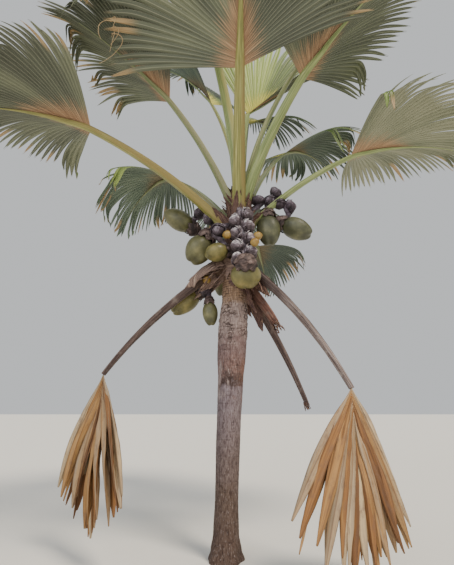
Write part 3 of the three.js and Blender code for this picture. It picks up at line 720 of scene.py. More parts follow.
def add_fan(bm, leaf, seed):
    """Adds the sheet of a fan, pleat by pleat, and joins the pleats up to their splits."""
    on_fan = bm.verts.layers.float_vector["place_on_fan"]
    tint = bm.verts.layers.float["pleat_tint"]
    rng = random.Random(seed)
    rib = fan_rib(leaf)
    pleats = leaf["pleats"]
    lines = [fan_line(leaf, rib, j / pleats - 1) for j in range(2 * pleats + 1)]
    shares = [k / FAN_ROWS for k in range(FAN_ROWS + 1)]
    places = [[at(line[0], v) for v in shares] for line in lines]
    splits = [rng.uniform(leaf["split"] - 0.06, leaf["split"] + 0.08) for _ in range(pleats + 1)]
    for tear in range(rng.randint(2, 4), pleats, TEAR_EVERY):
        splits[min(tear + rng.randint(-2, 2), pleats - 1)] = rng.uniform(*TORN_FROM)
    # neighbours that have broken together hang as one flap, still joined for most of its length
    flaps = {}
    i = 0
    while i < pleats:
        after = min(i + rng.choice((1, 1, 2, 3, 4, 5)), pleats)
        if rng.random() < leaf["hanging"]:
            flap = dict(
                free_from=max(splits[i], splits[after], rng.uniform(*FLAP_FROM)),
                droop=rng.uniform(0.7, 1.0),
                grown=rng.uniform(0.65, 1.2),
                fall=Vector((rng.uniform(-0.3, 0.3), rng.uniform(-0.3, 0.3), -1)),
                aside=rng.uniform(-0.35, 0.35),
            )
            for inside in range(i + 1, after):
                splits[inside] = rng.uniform(*FLAP_SPLITS)
            flaps.update({n: flap for n in range(i, after)})
        i = after
    group_tint = 0.5
    for i in range(pleats):
        left, middle, right = places[2 * i : 2 * i + 3]
        headings, above, length = lines[2 * i + 1][1:]
        flap = flaps.get(i)
        dried = rng.random() < leaf["dry"] or i in leaf["dry_pleats"]
        end = 1 - rng.uniform(0.0, 0.06)
        notch = rng.uniform(0.02, 0.07)
        free_from = flap["free_from"] if flap else max(splits[i], splits[i + 1])
        droop = flap["droop"] if flap else rng.uniform(0.02, 0.22)
        grown = flap["grown"] * rng.uniform(0.88, 1.12) if flap else 1.0
        fall = Vector((rng.uniform(-0.3, 0.3), rng.uniform(-0.3, 0.3), -1))
        fall = (flap["fall"] + 0.2 * fall if flap else fall).normalized()
        drying_from = rng.uniform(0.62, 0.88) if dried else rng.uniform(0.93, 1.05)
        aside = flap["aside"] if flap else rng.uniform(-0.05, 0.05)
        turns = rng.uniform(-0.5, 0.5)
        group_tint = min(max(group_tint + rng.uniform(-0.22, 0.22), 0.0), 1.0)
        # the middle fold of the pleat, which bends down past the place where it is free
        spine = [middle[0]]
        for k in range(FAN_ROWS):
            if shares[k] < free_from:
                spine.append(middle[k + 1])
                continue
            way = (middle[k + 1] - middle[k]).normalized()
            bend = droop * smooth((shares[k] - free_from) / 0.16)
            way = way.lerp(fall, bend).normalized()
            spine.append(spine[k] + way * grown * length / FAN_ROWS)
        for k, row in enumerate(add_grid(bm, PLEAT_COLUMNS, FAN_ROWS)):
            v = shares[k]
            chord = right[k] - left[k]
            spread = chord.length / 2
            normal = at(headings, v).cross(chord).normalized()
            if normal.dot(above) < 0:
                normal.negate()
            # the pleat is as deep as its width laid flat leaves over
            flat = FLAT_HALF / pleats * v * length
            depth = math.sqrt(max(flat**2 - spread**2, (0.3 * spread) ** 2))
            last = smooth((v - FORK_FROM) / (1 - FORK_FROM))
            over = max(0.0, v - free_from) / (1 - free_from) if free_from < 1 else 0.0
            sway = chord * aside * over**2 * 4
            for c, point in enumerate(row):
                x = 2 * c / PLEAT_COLUMNS - 1
                side, split = (left, splits[i]) if x < 0 else (right, splits[i + 1])
                wide = pleat_outline(v, split)
                # the point of a pleat is forked: its two halves narrow to a tip each
                fork = lerp(abs(x), 0.7, last) if x else 0.0
                reach = end - notch * (1 - abs(x)) * last
                out = (side[k] - middle[k]) * fork * wide
                if over:
                    swung = turns * over * (1 if x > 0 else -1)
                    out = out * math.cos(swung) + normal * out.length * math.sin(swung)
                lift = normal * depth * (abs(x) * wide - 0.5)
                back = (spine[k] - spine[max(k - 1, 0)]) * (1 - reach) * FAN_ROWS * v * last
                point.co = spine[k] + out + lift - back + sway
                point[on_fan] = (i + c / PLEAT_COLUMNS, v * length, smooth((v - drying_from) / 0.12))
                point[tint] = group_tint
    bmesh.ops.remove_doubles(bm, verts=bm.verts, dist=2e-5)
    # the nets were made to face down
    bmesh.ops.reverse_faces(bm, faces=bm.faces[:])


def add_thread(bm, start, bow, length, seed):
    """A dried thread of torn leaf, which curls as it hangs from the tip of a pleat."""
    on_fan = bm.verts.layers.float_vector["place_on_fan"]
    rng = random.Random(seed)
    middle = start.copy()
    way = Vector((bow, -0.3, 0.1)).normalized()
    for k, row in enumerate(add_grid(bm, 2, THREAD_ROWS)):
        t = k / THREAD_ROWS
        across = way.cross(Vector((0.2, 1, 0))).normalized()
        for c, point in enumerate(row):
            point.co = middle + across * (c - 1) * 0.5 * THREAD_WIDTH * (1 - 0.7 * t)
            point[on_fan] = (seed + c / 2, t * length, 1.0)
        # it turns down, and then back under where it hangs from
        pull = Vector((-0.22 * bow * t + rng.uniform(-0.08, 0.08), rng.uniform(-0.06, 0.06), -0.16))
        way = (way + pull).normalized()
        middle = middle + way * length / THREAD_ROWS


# Fan leather: living leaf, tough and thin. The upper side is glossy green. The under side is duller and
# greyer with pale ribs, and near the stalk it carries a rust-coloured wool that runs out along the pleats.
def fan_leather(name, stops, rib_colour, roughness, wool_stops, tint_share=0.3):
    material, tree = new_material(name)
    laid = add_node(tree, "Attribute", attribute_name="place_on_fan")["Vector"]
    spot = add_node(tree, "SeparateXYZ", {0: laid})
    shade = add_node(tree, "Attribute", attribute_name="pleat_tint")["Fac"]
    # streaks across the pleats: five veins to half a pleat, drawn coarser than the real ones
    veins = drawn_out(tree, laid, (11, 2.2, 0), detail=5, roughness=0.6)
    broad = drawn_out(tree, laid, (0.16, 1.1, 0), detail=3)
    mixed = add_node(tree, "Mix", {0: 0.45, 2: veins, 3: broad})
    tinted = add_node(tree, "Mix", {0: tint_share, 2: mixed[0], 3: shade})
    skin = add_node(tree, "ValToRGB", {0: tinted[0]}, stops)
    # pale rib in the middle of each pleat, and a thinner line along each fold
    across = add_node(tree, "Math", {0: spot["X"], 1: 0.5}, operation="PINGPONG")
    rib = add_node(tree, "MapRange", {0: across[0], 1: 0.43, 2: 0.49, 3: 0.0, 4: 0.6})
    fold = add_node(tree, "MapRange", {0: across[0], 1: 0.05, 2: 0.01, 3: 0.0, 4: 0.35})
    lines = add_node(tree, "Math", {0: rib[0], 1: fold[0]}, operation="MAXIMUM")
    # side veins, seven to a pleat
    split_up = add_node(tree, "Math", {0: spot["X"], 1: 7.0}, operation="MULTIPLY")
    beside = add_node(tree, "Math", {0: split_up[0], 1: 0.5}, operation="PINGPONG")
    vein = add_node(tree, "MapRange", {0: beside[0], 1: 0.34, 2: 0.48, 3: 0.0, 4: 0.3})
    line = add_node(tree, "Math", {0: lines[0], 1: vein[0]}, operation="MAXIMUM")
    skin = add_node(tree, "Mix", {0: line[0], 6: skin[0], 7: rib_colour}, data_type="RGBA")
    # wool close to the stalk, thick along the ribs and thinning out over half a metre
    fade = add_node(tree, "MapRange", {0: spot["Y"], 1: 0.04, 2: 0.62, 3: 0.42, 4: -0.35})
    tufts = drawn_out(tree, laid, (1.7, 1.8, 0), detail=6, roughness=0.7)
    on_rib = add_node(tree, "MapRange", {0: across[0], 1: 0.1, 2: 0.45, 3: -0.07, 4: 0.09})
    thick = add_node(tree, "Math", {0: fade[0], 1: on_rib[0]}, operation="ADD")
    wool_sum = add_node(tree, "Math", {0: tufts, 1: thick[0]}, operation="ADD")
    woolly = add_node(tree, "MapRange", {0: wool_sum[0], 1: 0.52, 2: 0.8, 3: 0.0, 4: 0.9})
    wool = add_node(tree, "ValToRGB", {0: tufts}, wool_stops)
    skin = add_node(tree, "Mix", {0: woolly[0], 6: skin[2], 7: wool[0]}, data_type="RGBA")
    # tan where a tip is dead
    tans = [(0.35, 0x7F6648), (0.5, 0xAC9068), (0.65, 0xC9B48A)]
    dead = add_node(tree, "ValToRGB", {0: veins}, tans)
    skin = add_node(tree, "Mix", {0: spot["Z"], 6: skin[2], 7: dead[0]}, data_type="RGBA")
    dull = add_node(tree, "MapRange", {0: woolly[0], 1: 0.0, 2: 1.0, 3: roughness, 4: 0.95})
    relief = add_node(tree, "Math", {0: veins, 1: line[0]}, operation="ADD")
    finish_material(tree, skin[2], dull[0], relief[0], strength=0.35, depth=0.003, specular=0.3)
    return material


upper_leather = fan_leather(
    "glossy upper side of the fan",
    [(0.26, 0x172A10), (0.42, 0x2A4317), (0.56, 0x486625), (0.72, 0x98AC54)],
    rib_colour=0xCBCB84,
    roughness=0.45,
    wool_stops=[(0.35, 0xA5A445), (0.5, 0xC8C264), (0.65, 0xDDD488)],
    tint_share=0.5,
)
under_leather = fan_leather(
    "grey-green under side of the fan",
    [(0.26, 0x3A3F36), (0.42, 0x545A4C), (0.56, 0x70765F), (0.72, 0x97987F)],
    rib_colour=0xB0B096,
    roughness=0.55,
    wool_stops=[(0.35, 0x85634A), (0.5, 0xA98566), (0.65, 0xC9AA87)],
)
# the fans that hang at the back are darker and bluer, in the shade of the others
SHADED_FANS = ("back", "back_right", "back_low", "back_lowest", "back_left_upper", "back_left_lower")
shaded_leather = fan_leather(
    "shaded under side of the fan",
    [(0.28, 0x2C3734), (0.43, 0x43514A), (0.57, 0x607060), (0.72, 0x8A9681)],
    rib_colour=0x989D88,
    roughness=0.55,
    wool_stops=[(0.35, 0x5A4F40), (0.5, 0x756952), (0.65, 0x94886D)],
    tint_share=0.15,
)

for number, leaf in enumerate(LIVE_LEAVES):
    bm = new_bmesh("place_on_fan", "pleat_tint")
    add_fan(bm, leaf, seed=31 * number + 5)
    name = leaf["name"]
    if name == "front":
        # torn threads hang from the dried tips at its left edge
        rib = fan_rib(leaf)
        for n, (u, bow, length) in enumerate(FRONT_THREADS):
            add_thread(bm, at(fan_line(leaf, rib, u)[0], 0.92), bow, length, seed=83 + n)
    leathers = [upper_leather, shaded_leather if name in SHADED_FANS else under_leather]
    piece = make_piece(bm, f"fan_{name}", f"blade_{name}", leathers, crease=0.5)
    thicken(piece, FAN_THICKNESS, under=1)


# Dead leaves
# Below the live leaves hang the stalks of dead ones, dry and wrinkled, with thick split feet. Two still
# hold their half-closed fans of long dry strips, and two have broken off short of theirs.
DEAD_STEM = {"foot": (0.25, 0.205), "neck": (0.132, 0.114), "tip": (0.078, 0.054)}
STUB_STEM = {"foot": (0.23, 0.18), "neck": (0.195, 0.168), "tip": (0.15, 0.118)}
# as for the live leaves. twist: how far the fan is turned about the upright. clasp: how far round the stem
# the torn clasp sits from the stalk.
DEAD_LEAVES = [
    dict(
        name="left", turn=-175, rise=-43, reach=2.15, foot=3.39, girth=1.15, blade=1.7, left=30, right=34,
        fold=6, twist=40, shorter=0.12, curl=0, sag=0.3, clasp=38, skin="dark",
    ),
    dict(
        name="right", turn=-37, rise=-50, reach=2.16, foot=3.4, girth=1.1, blade=1.62, left=36, right=28,
        fold=4, twist=-26, shorter=0.06, curl=0, sag=0.2, clasp=-10, skin="weathered",
    ),
    dict(
        name="back_right", turn=34, rise=-55, reach=1.99, foot=3.2, girth=0.9, bow=0.035, clasp=0,
        skin="dark",
    ),
    dict(name="stub", turn=-4, rise=-52, reach=0.8, foot=3.18, girth=1, bow=0.04, clasp=-20, skin="red"),
]
DEAD_LEAVES = [USUAL_LEAF | leaf for leaf in DEAD_LEAVES]
DEAD_RINGS = 96
# how many splinters stand at the end of a broken stalk
SPLINTERS = 14
# a dead fan has two layers of so many strips
DRY_STRIPS = 15
STRIP_COLUMNS = 6
STRIP_ROWS = 46
STRIP_WIDTH = 0.1
STRIP_TIP = 0.009
STRIP_THICKNESS = 0.003


# Dead petiole: dried fibre, split and shrunk along its length. Dull brown, with pale worn edges and a
# wrinkled surface that catches the light in lines 12 mm wide.
def dead_stalk_fibre(name, stops, foot_colour, foot_end, worn_share):
    material, tree = new_material(name)
    laid = add_node(tree, "Attribute", attribute_name="laid_straight")["Vector"]
    streaks = drawn_out(tree, laid, (85, 85, 2.2), detail=7, roughness=0.68)
    skin = add_node(tree, "ValToRGB", {0: streaks}, stops)
    blotch = add_node(tree, "TexNoise", {"Vector": laid, "Scale": 9.0, "Detail": 5})
    worn = add_node(tree, "MapRange", {0: blotch[0], 1: 0.54, 2: 0.7, 3: 0.0, 4: worn_share})
    skin = add_node(tree, "Mix", {0: worn[0], 6: skin[0], 7: 0xA79B92}, data_type="RGBA")
    # the torn foot has a colour of its own, that fades out over 0.6 m
    spot = add_node(tree, "SeparateXYZ", {0: laid})
    inputs = {0: spot["Z"], 1: foot_end - 0.3, 2: foot_end + 0.3, 3: 0.4, 4: -0.4}
    fade = add_node(tree, "MapRange", inputs)
    foot_tone_sum = add_node(tree, "Math", {0: fade[0], 1: blotch[0]}, operation="ADD")
    foot_tone = add_node(tree, "MapRange", {0: foot_tone_sum[0], 1: 0.5, 2: 0.9, 3: 0.0, 4: 0.75})
    skin = add_node(tree, "Mix", {0: foot_tone[0], 6: skin[2], 7: foot_colour}, data_type="RGBA")
    finish_material(tree, skin[2], 0.82, streaks, strength=0.8, depth=0.006, specular=0.35)
    return material


dead_skins = {
    # darker and greyer than the others, which is partly painted shade
    "dark": dead_stalk_fibre(
        "dark dead petiole with painted shade",
        [(0.3, 0x2B2221), (0.44, 0x483A37), (0.57, 0x62524D), (0.72, 0x85746B)],
        foot_colour=0x77614F,
        foot_end=0.7,
        worn_share=0.25,
    ),
    "weathered": dead_stalk_fibre(
        "weathered dead petiole",
        [(0.3, 0x3A2F2E), (0.44, 0x625450), (0.57, 0x8A7C77), (0.72, 0xB6ABA6)],
        foot_colour=0x3B2C2B,
        foot_end=1.1,
        worn_share=0.5,
    ),
    "red": dead_stalk_fibre(
        "rust-brown dead petiole",
        [(0.3, 0x362422), (0.44, 0x5B3E36), (0.57, 0x7E5A4C), (0.72, 0xAC8B77)],
        foot_colour=0x463029,
        foot_end=0.6,
        worn_share=0.35,
    ),
}


def split_end(bm, leaf, seed, width, length):
    """Ragged splinters at the broken end of a dead petiole."""
    middle, along, across, above = stem_frame(leaf, 1.0)
    rng = random.Random(seed)
    for n in range(SPLINTERS):
        shift = rng.uniform(-0.42, 0.42)
        foot = middle + across * shift * width + above * rng.uniform(-0.35, 0.3) * width - along * 0.06
        heading = (along + across * rng.uniform(-0.2, 0.2) + above * rng.uniform(-0.25, 0.1)).normalized()
        tall, wide = length * rng.uniform(0.5, 1.0), width * rng.uniform(0.25, 0.6)
        add_scale(bm, foot, heading, across, tall, wide, seed + n, lean=rng.uniform(-0.2, 0.25))


for number, leaf in enumerate(DEAD_LEAVES):
    name, girth = leaf["name"], leaf["girth"]
    node = f"dead_petiole_{name}"
    stem = STUB_STEM if name == "stub" else DEAD_STEM
    bm = new_bmesh("laid_straight")
    sweep_stem(bm, petiole_stations(leaf, stem, DEAD_RINGS, uneven=0.09))
    make_piece(bm, f"dead_stalk_{name}", node, [dead_skins[leaf["skin"]]], crease=0.9)
    bm = new_bmesh("laid_straight")
    turn, height = leaf["turn"] + leaf["clasp"], leaf["foot"] - 0.14
    add_clasp(bm, turn, height, spread=92, tall=0.26, seed=number * 2.3 + 40)
    for side in (-1, 1):
        for step, t in enumerate((0.08, 0.13, 0.18)):
            middle, along, across, above = stem_frame(leaf, t)
            edge = middle + across * side * 0.45 * stem_size(t, stem, girth)[0] - above * 0.01
            heading = (along + across * side * 0.2 - above * 0.1).normalized()
            facing = (across * side * 0.7 - above * 0.5).normalized()
            add_scale(bm, edge, heading, facing, 0.24, 0.09, 900 + 40 * number + 5 * step + side, lean=0.2)
    # broad flaps of the torn sheath hang on below the foot
    for n, t in enumerate((0.04, 0.1, 0.16, 0.22) if "blade" in leaf else (0.08, 0.2)):
        middle, along, across, above = stem_frame(leaf, t)
        side = -1 if n % 2 else 1
        foot = middle + across * side * 0.05 - above * 0.35 * stem_size(t, stem, girth)[1]
        heading = (along - above * 0.26 + across * side * 0.12).normalized()
        facing = (across + above * side * 0.8).normalized()
        add_scale(bm, foot, heading, facing, 0.46 - 0.06 * n, 0.2, 700 + 9 * number + n, lean=-0.1)
    # on the left leaf the sheath still lies over the foot like a saddle
    for n in range(3 if name == "left" else 0):
        middle, along, across, above = stem_frame(leaf, 0.03 + 0.05 * n)
        foot = middle + above * (0.5 * stem_size(0.03, stem, girth)[1] + 0.012 * n)
        heading = outward(leaf["turn"] + 14 * (n - 1), -6 - 9 * n)
        add_scale(bm, foot, heading, across, 0.46, 0.36, 1300 + n, lean=-0.42, cup=0.85)
    if name == "stub":
        split_end(bm, leaf, seed=57, width=0.15, length=0.2)
    if name == "back_right":
        split_end(bm, leaf, seed=77, width=0.06, length=0.12)
    # the dead leaf at the left takes the paler copy, which is partly painted light
    paper = lightened_tan_sheath if name == "left" else sheath_paper
    piece = make_piece(bm, f"dead_sheath_{name}", node, [paper])
    thicken(piece, SHEATH_THICKNESS)


# Dry fan: leaf that has lost its green and shrunk. Dull straw to rust-brown strips, each of its own tone,
# with painted shade along their folds and edges, lengthwise wrinkles 9 mm wide and old stains.
dry_fan, tree = new_material("dry straw fan")
laid = add_node(tree, "Attribute", attribute_name="place_on_fan")["Vector"]
spot = add_node(tree, "SeparateXYZ", {0: laid})
shade = add_node(tree, "Attribute", attribute_name="pleat_tint")["Fac"]
veins = drawn_out(tree, laid, (11, 1.6, 0), detail=7, roughness=0.7)
tinted = add_node(tree, "Mix", {0: 0.5, 2: veins, 3: shade})
straws = [(0.26, 0x5F432E), (0.38, 0x8B613A), (0.5, 0xA88150), (0.61, 0x9C8A73), (0.74, 0xC9B087)]
skin = add_node(tree, "ValToRGB", {0: tinted[0]}, straws)
stains = drawn_out(tree, laid, (2.2, 5, 0), detail=7, roughness=0.75)
stained = add_node(tree, "MapRange", {0: stains, 1: 0.5, 2: 0.66, 3: 0.0, 4: 0.75})
skin = add_node(tree, "Mix", {0: stained[0], 6: skin[0], 7: 0x6F5646}, data_type="RGBA")
# painted shade along the edges of a strip and along its fold
across = add_node(tree, "Math", {0: spot["X"], 1: 0.5}, operation="PINGPONG")
edge = add_node(tree, "MapRange", {0: across[0], 1: 0.0, 2: 0.09, 3: 0.6, 4: 0.0})
fold = add_node(tree, "MapRange", {0: across[0], 1: 0.42, 2: 0.5, 3: 0.0, 4: 0.6})
dark = add_node(tree, "Math", {0: edge[0], 1: fold[0]}, operation="MAXIMUM")
skin = add_node(tree, "Mix", {0: dark[0], 6: skin[2], 7: 0x5B402E}, data_type="RGBA")
finish_material(tree, skin[2], 0.8, veins, strength=0.7, depth=0.005, specular=0.3)


def add_dry_strip(bm, leaf, rib, u, number, seed):
    """One long dry segment of a dead fan: folded along its middle, twisted, and narrow at both ends."""
    on_fan = bm.verts.layers.float_vector["place_on_fan"]
    tint = bm.verts.layers.float["pleat_tint"]
    rng = random.Random(seed)
    places, headings, above, length = fan_line(leaf, rib, u)
    tall = rng.uniform(0.86, 1.0)
    width = STRIP_WIDTH * rng.uniform(0.75, 1.3)
    first, twist = rng.uniform(-0.5, 0.5), rng.uniform(-1.3, 1.3)
    lift, swing, colour = rng.uniform(-0.09, 0.09), rng.uniform(-0.08, 0.08), rng.uniform(0.1, 0.9)
    for k, row in enumerate(add_grid(bm, STRIP_COLUMNS, STRIP_ROWS)):
        t = k / STRIP_ROWS
        middle, way = at(places, t * tall), at(headings, t * tall).normalized()
        side = way.cross(above).normalized()
        over = side.cross(way)
        angle = first + twist * smooth((t - 0.1) / 0.8)
        across = side * math.cos(angle) + over * math.sin(angle)
        out = over * math.cos(angle) - side * math.sin(angle)
        opened = smooth(t / 0.3)
        half = 0.5 * width * opened * (1 - max(0.0, (t - 0.62) / 0.38) ** 1.6) + STRIP_TIP
        middle = middle + over * lift * smooth(t / 0.6) + side * swing * t * t
        for c, point in enumerate(row):
            x = 2 * c / STRIP_COLUMNS - 1
            wrinkle = 0.007 * bumps(3 * x, 9 * t, seed) * opened
            point.co = middle + across * x * half + out * (0.7 * half * (0.5 - abs(x)) + wrinkle)
            point[on_fan] = (number + c / STRIP_COLUMNS, t * length, 1.0)
            point[tint] = colour


for number, leaf in enumerate(DEAD_LEAVES[:2]):
    bm = new_bmesh("place_on_fan", "pleat_tint")
    rib = fan_rib(leaf)
    for i in range(2 * DRY_STRIPS):
        # the second layer lies over the gaps of the first
        u = 2 * ((i % DRY_STRIPS) + 0.5 * (i // DRY_STRIPS) + 0.3) / DRY_STRIPS - 1
        add_dry_strip(bm, leaf, rib, u, i, seed=401 + 50 * number + i)
    name = leaf["name"]
    piece = make_piece(bm, f"dead_fan_{name}", f"dead_blade_{name}", [dry_fan], crease=0.5)
    thicken(piece, STRIP_THICKNESS)


# Bunches
# Each bunch hangs on a thick woody stalk. Flowers sat on it in two rows in cups of overlapping brown
# bracts, and a few stand out as young fruit. The ripe ones hang at its end under a cap of old bracts.
STALK_RADIUS = 0.034
STALK_SIDES = 20
# scars go round a bunch's stalk this far apart, and swell it by this share between them
STALK_SCAR_GAP = 0.035
STALK_SWELL = 0.06
CUP_RADIUS = 0.09
CUP_SQUASH = 0.8
BRACT_THICKNESS = 0.003
BRACT_COLUMNS = 7
BRACT_ROWS = 6
# a bract starts this far from the back of its cup and reaches this far round to each side, in radians
BRACT_START = 0.12
BRACT_HALF = 1.25
BALL_SEGMENTS = 24
YOUNG_RADIUS = 0.052
FRUIT_SEGMENTS = 72
FRUIT_TAPER = 0.22
FRUIT_FLATNESS = 0.84
FRUIT_GROOVE = 0.12
# radius of the cup behind a cap, as a share of the fruit's width
CAP_CUP = 0.2574
CAP_COLUMNS = 8
CAP_ROWS = 9
# how many scales each round of a cap has, and how much of it they cover
CAP_LAYERS = ((7, 1.0), (6, 0.74), (5, 0.48))
# how far a cap reaches down a fruit, as an angle from its blunt end in radians, and how far it stands
# above that end, as a share of the fruit's width
CAP_COVERS = 0.72
FRONT_CAP_COVERS = 0.75
CAP_RISE = 0.26
# path: the points that the stalk passes. cups: shares of it where a cup sits, to one side and the other
# in turn. lean: how far the cups sit from it. young: where the small fruit are. fruit: its middle, the way
# its tip points, its length, its width and its rind.
BUNCHES = [
    dict(
        name="front",
        path=[
            (0.17, -0.06, 3.99), (0.168, -0.26, 3.98), (0.178, -0.37, 3.86), (0.2, -0.395, 3.56),
            (0.228, -0.405, 3.2),
        ],
        cups=[0.38, 0.46, 0.54, 0.62, 0.7, 0.78, 0.86, 0.93],
        lean=0.082,
        young=[(0.012, -0.4, 3.57), (0.382, -0.42, 3.545), (0.338, -0.5, 3.43)],
        fruit=[((0.232, -0.415, 3.03), (0.02, 0.95, -1), 0.33, 0.375, "yellow")],
    ),
    dict(
        name="right",
        path=[(0.19, 0, 3.99), (0.4, 0, 4.13), (0.6, 0, 4.29), (0.76, 0, 4.23), (0.84, 0.01, 4.01)],
        cups=[0.38, 0.5, 0.62, 0.74, 0.86],
        lean=0.062,
        young=[],
        fruit=[
            ((0.56, -0.01, 3.79), (0.05, 0, -1), 0.45, 0.33, "dark"),
            ((0.94, 0, 3.82), (0.86, -0.1, -0.42), 0.44, 0.33, "dark"),
        ],
    ),
    dict(
        name="left",
        path=[(0.13, 0, 3.9), (-0.12, -0.03, 3.96), (-0.33, -0.01, 4.01), (-0.45, 0, 3.96)],
        cups=[0.6, 0.82],
        lean=0.044,
        young=[],
        fruit=[((-0.645, 0, 3.96), (-0.82, -0.1, 0.5), 0.455, 0.35, "olive")],
    ),
    dict(
        name="front_left",
        path=[(0.13, -0.06, 3.72), (0.06, -0.24, 3.76), (-0.09, -0.3, 3.7), (-0.2, -0.27, 3.6)],
        cups=[0.78],
        lean=0.02,
        young=[],
        fruit=[
            ((-0.35, -0.2, 3.44), (-0.5, 0.1, -0.8), 0.4, 0.36, "olive"),
            ((-0.125, -0.32, 3.37), (-0.95, -0.25, -0.2), 0.3, 0.275, "yellow"),
        ],
    ),
    dict(
        name="lower_left",
        path=[(0.1, 0, 3.23), (-0.11, 0.06, 3.22), (-0.23, 0.05, 3.08), (-0.225, 0.02, 2.93)],
        cups=[0.6, 0.88],
        lean=0.045,
        young=[(-0.245, -0.11, 3.085)],
        fruit=[
            ((-0.535, 0.15, 2.84), (-0.8, 0, -0.6), 0.44, 0.27, "yellow"),
            ((-0.2, 0, 2.67), (0.1, 0, -1), 0.32, 0.2, "olive"),
        ],
    ),
    dict(
        name="back",
        path=[(0.16, 0.04, 3.78), (0.06, 0.28, 3.83), (0, 0.44, 3.72), (-0.01, 0.47, 3.48)],
        cups=[0.54, 0.8],
        lean=0.06,
        young=[],
        fruit=[
            ((-0.04, 0.5, 3.23), (-0.1, 0.1, -1), 0.43, 0.32, "olive"),
            ((0.18, 0.52, 3.48), (0.75, 0.45, -0.5), 0.4, 0.3, "dark"),
        ],
    ),
]


def smooth_path(path, steps=40):
    """Points on the smooth curve through a path, closer to its corners than an even spline."""
    path = [Vector(p) for p in path]
    path = [path[0] * 2 - path[1], *path, path[-1] * 2 - path[-2]]
    points = []
    for a, b, c, d in zip(path, path[1:], path[2:], path[3:]):
        ab, bc, cd = ((q - p).length ** 0.5 for p, q in ((a, b), (b, c), (c, d)))
        start = ((b - a) / ab - (c - a) / (ab + bc) + (c - b) / bc) * bc
        end = ((c - b) / bc - (d - b) / (bc + cd) + (d - c) / cd) * bc
        for k in range(steps):
            t = k / steps
            place = b * (2 * t**3 - 3 * t**2 + 1) + start * (t**3 - 2 * t**2 + t)
            points.append(place + c * (3 * t**2 - 2 * t**3) + end * (t**3 - t**2))
    return [*points, path[-2]]


def along_path(points, share):
    """The place at a share of a path's length, and its way there."""
    lengths = [(b - a).length for a, b in zip(points, points[1:])]
    wanted = share * sum(lengths)
    for a, b, length in zip(points, points[1:], lengths):
        if wanted <= length:
            return a.lerp(b, wanted / length), (b - a).normalized()
        wanted -= length
    return points[-1], (points[-1] - points[-2]).normalized()


def nearest_on(points, first_tenth, place):
    """The nearest to a place of six points on a path, a tenth of its length apart."""
    tenths = range(first_tenth, first_tenth + 6)
    return min((along_path(points, n / 10)[0] for n in tenths), key=lambda p: (p - place).length)


def sweep_round(bm, points, uneven, rings):
    """A closed round limb along a path, uneven and scaly."""
    laid_straight = bm.verts.layers.float_vector["laid_straight"]
    middle, way = along_path(points, 0)
    aside = way.cross(UP if abs(way.z) < 0.9 else Vector((1, 0, 0))).normalized()
    total = sum((b - a).length for a, b in zip(points, points[1:]))
    rows = add_grid(bm, STALK_SIDES, rings)
    for k, row in enumerate(rows):
        middle, way = along_path(points, k / rings)
        aside = (aside - way * aside.dot(way)).normalized()
        over = way.cross(aside)
        travelled = total * k / rings
        swell = 1 + STALK_SWELL * abs(math.sin(math.pi * travelled / STALK_SCAR_GAP))
        for i, point in enumerate(row):
            angle = 2 * math.pi * (i % STALK_SIDES) / STALK_SIDES
            x, y = math.cos(angle), math.sin(angle)
            reach = STALK_RADIUS * (1 + uneven * bumps(2 * x, 2 * y, 26 * travelled)) * swell
            point.co = middle + (aside * x + over * y) * reach
            point[laid_straight] = (x * STALK_RADIUS, y * STALK_RADIUS, travelled)
    close_round(bm, rows)


def add_bract(bm, middle, axis, turn, radius, squash, end, rng):
    """One bract of a cup: a shell that wraps the bud from its back, with a lifted, ragged edge."""
    laid_straight = bm.verts.layers.float_vector["laid_straight"]
    faces_sky = bm.verts.layers.float["faces_sky"]
    aside = axis.orthogonal().normalized()
    over = axis.cross(aside)
    seed = rng.uniform(0, 50)
    for i, s, t, point in grid_points(bm, BRACT_COLUMNS, BRACT_ROWS):
        down = lerp(BRACT_START, end, t * (1 - 0.22 * s * s * t))
        round_to = turn + s * BRACT_HALF * (1 - 0.18 * t * t)
        reach = radius * (1 + 0.17 * t**3 + 0.07 * bumps(3 * s, 2 * t, seed) * t)
        flat = around(round_to, math.sin(down))
        rise = -math.cos(down) * squash
        point.co = middle + (aside * flat.x + over * flat.y + axis * rise) * reach
        point[laid_straight] = (round_to * radius, seed, down * radius)
        # how far this point faces the sky, which the bract material turns into painted light and shade
        point[faces_sky] = (point.co - middle).normalized().z


def add_cup(bm, middle, axis, radius, squash, opens_at, seed):
    """A cup of six overlapping bracts in two rounds."""
    rng = random.Random(seed)
    first = rng.uniform(0, 6.3)
    for layer in (0, 1):
        for n in range(3):
            turn = first + 2.1 * n + layer * 1.05
            end = opens_at * (1.0 - 0.2 * layer) * rng.uniform(0.92, 1.06)
            grown = radius * (0.97 + 0.05 * layer + rng.uniform(0, 0.03))
            add_bract(bm, middle, axis, turn, grown, squash, end, rng)


def add_ball(bm, middle, axis, radius, squash):
    """A bud or young fruit with a small pointed top."""
    laid_straight = bm.verts.layers.float_vector["laid_straight"]
    faces_sky = bm.verts.layers.float["faces_sky"]
    turn = UP.rotation_difference(axis)
    rings = BALL_SEGMENTS * 2 // 3
    made = bmesh.ops.create_uvsphere(bm, u_segments=BALL_SEGMENTS, v_segments=rings, radius=1)["verts"]
    for point in made:
        place = point.co.copy()
        point[laid_straight] = place * radius
        place.z = place.z * squash + 0.14 * max(0.0, place.z) ** 14
        place *= 1 + 0.05 * bumps(*(place * 2 + middle * 9))
        point.co = middle + turn @ (place * radius)
        # how far this point faces the sky, which the bract material turns into painted light and shade
        point[faces_sky] = (point.co - middle).normalized().z


def fruit_skin(x, y, z, length, width):
    """Where a place on a ball, whose +Y is the fruit's tip, lies on a fruit that is a little flat."""
    towards_tip = (y + 1) / 2
    girth = 1 - FRUIT_TAPER * towards_tip**2
    groove = 1 - FRUIT_GROOVE * towards_tip * math.exp(-((x / 0.3) ** 2))
    return 0.5 * Vector((x * girth * width, y * groove * length, z * girth * groove * FRUIT_FLATNESS * width))


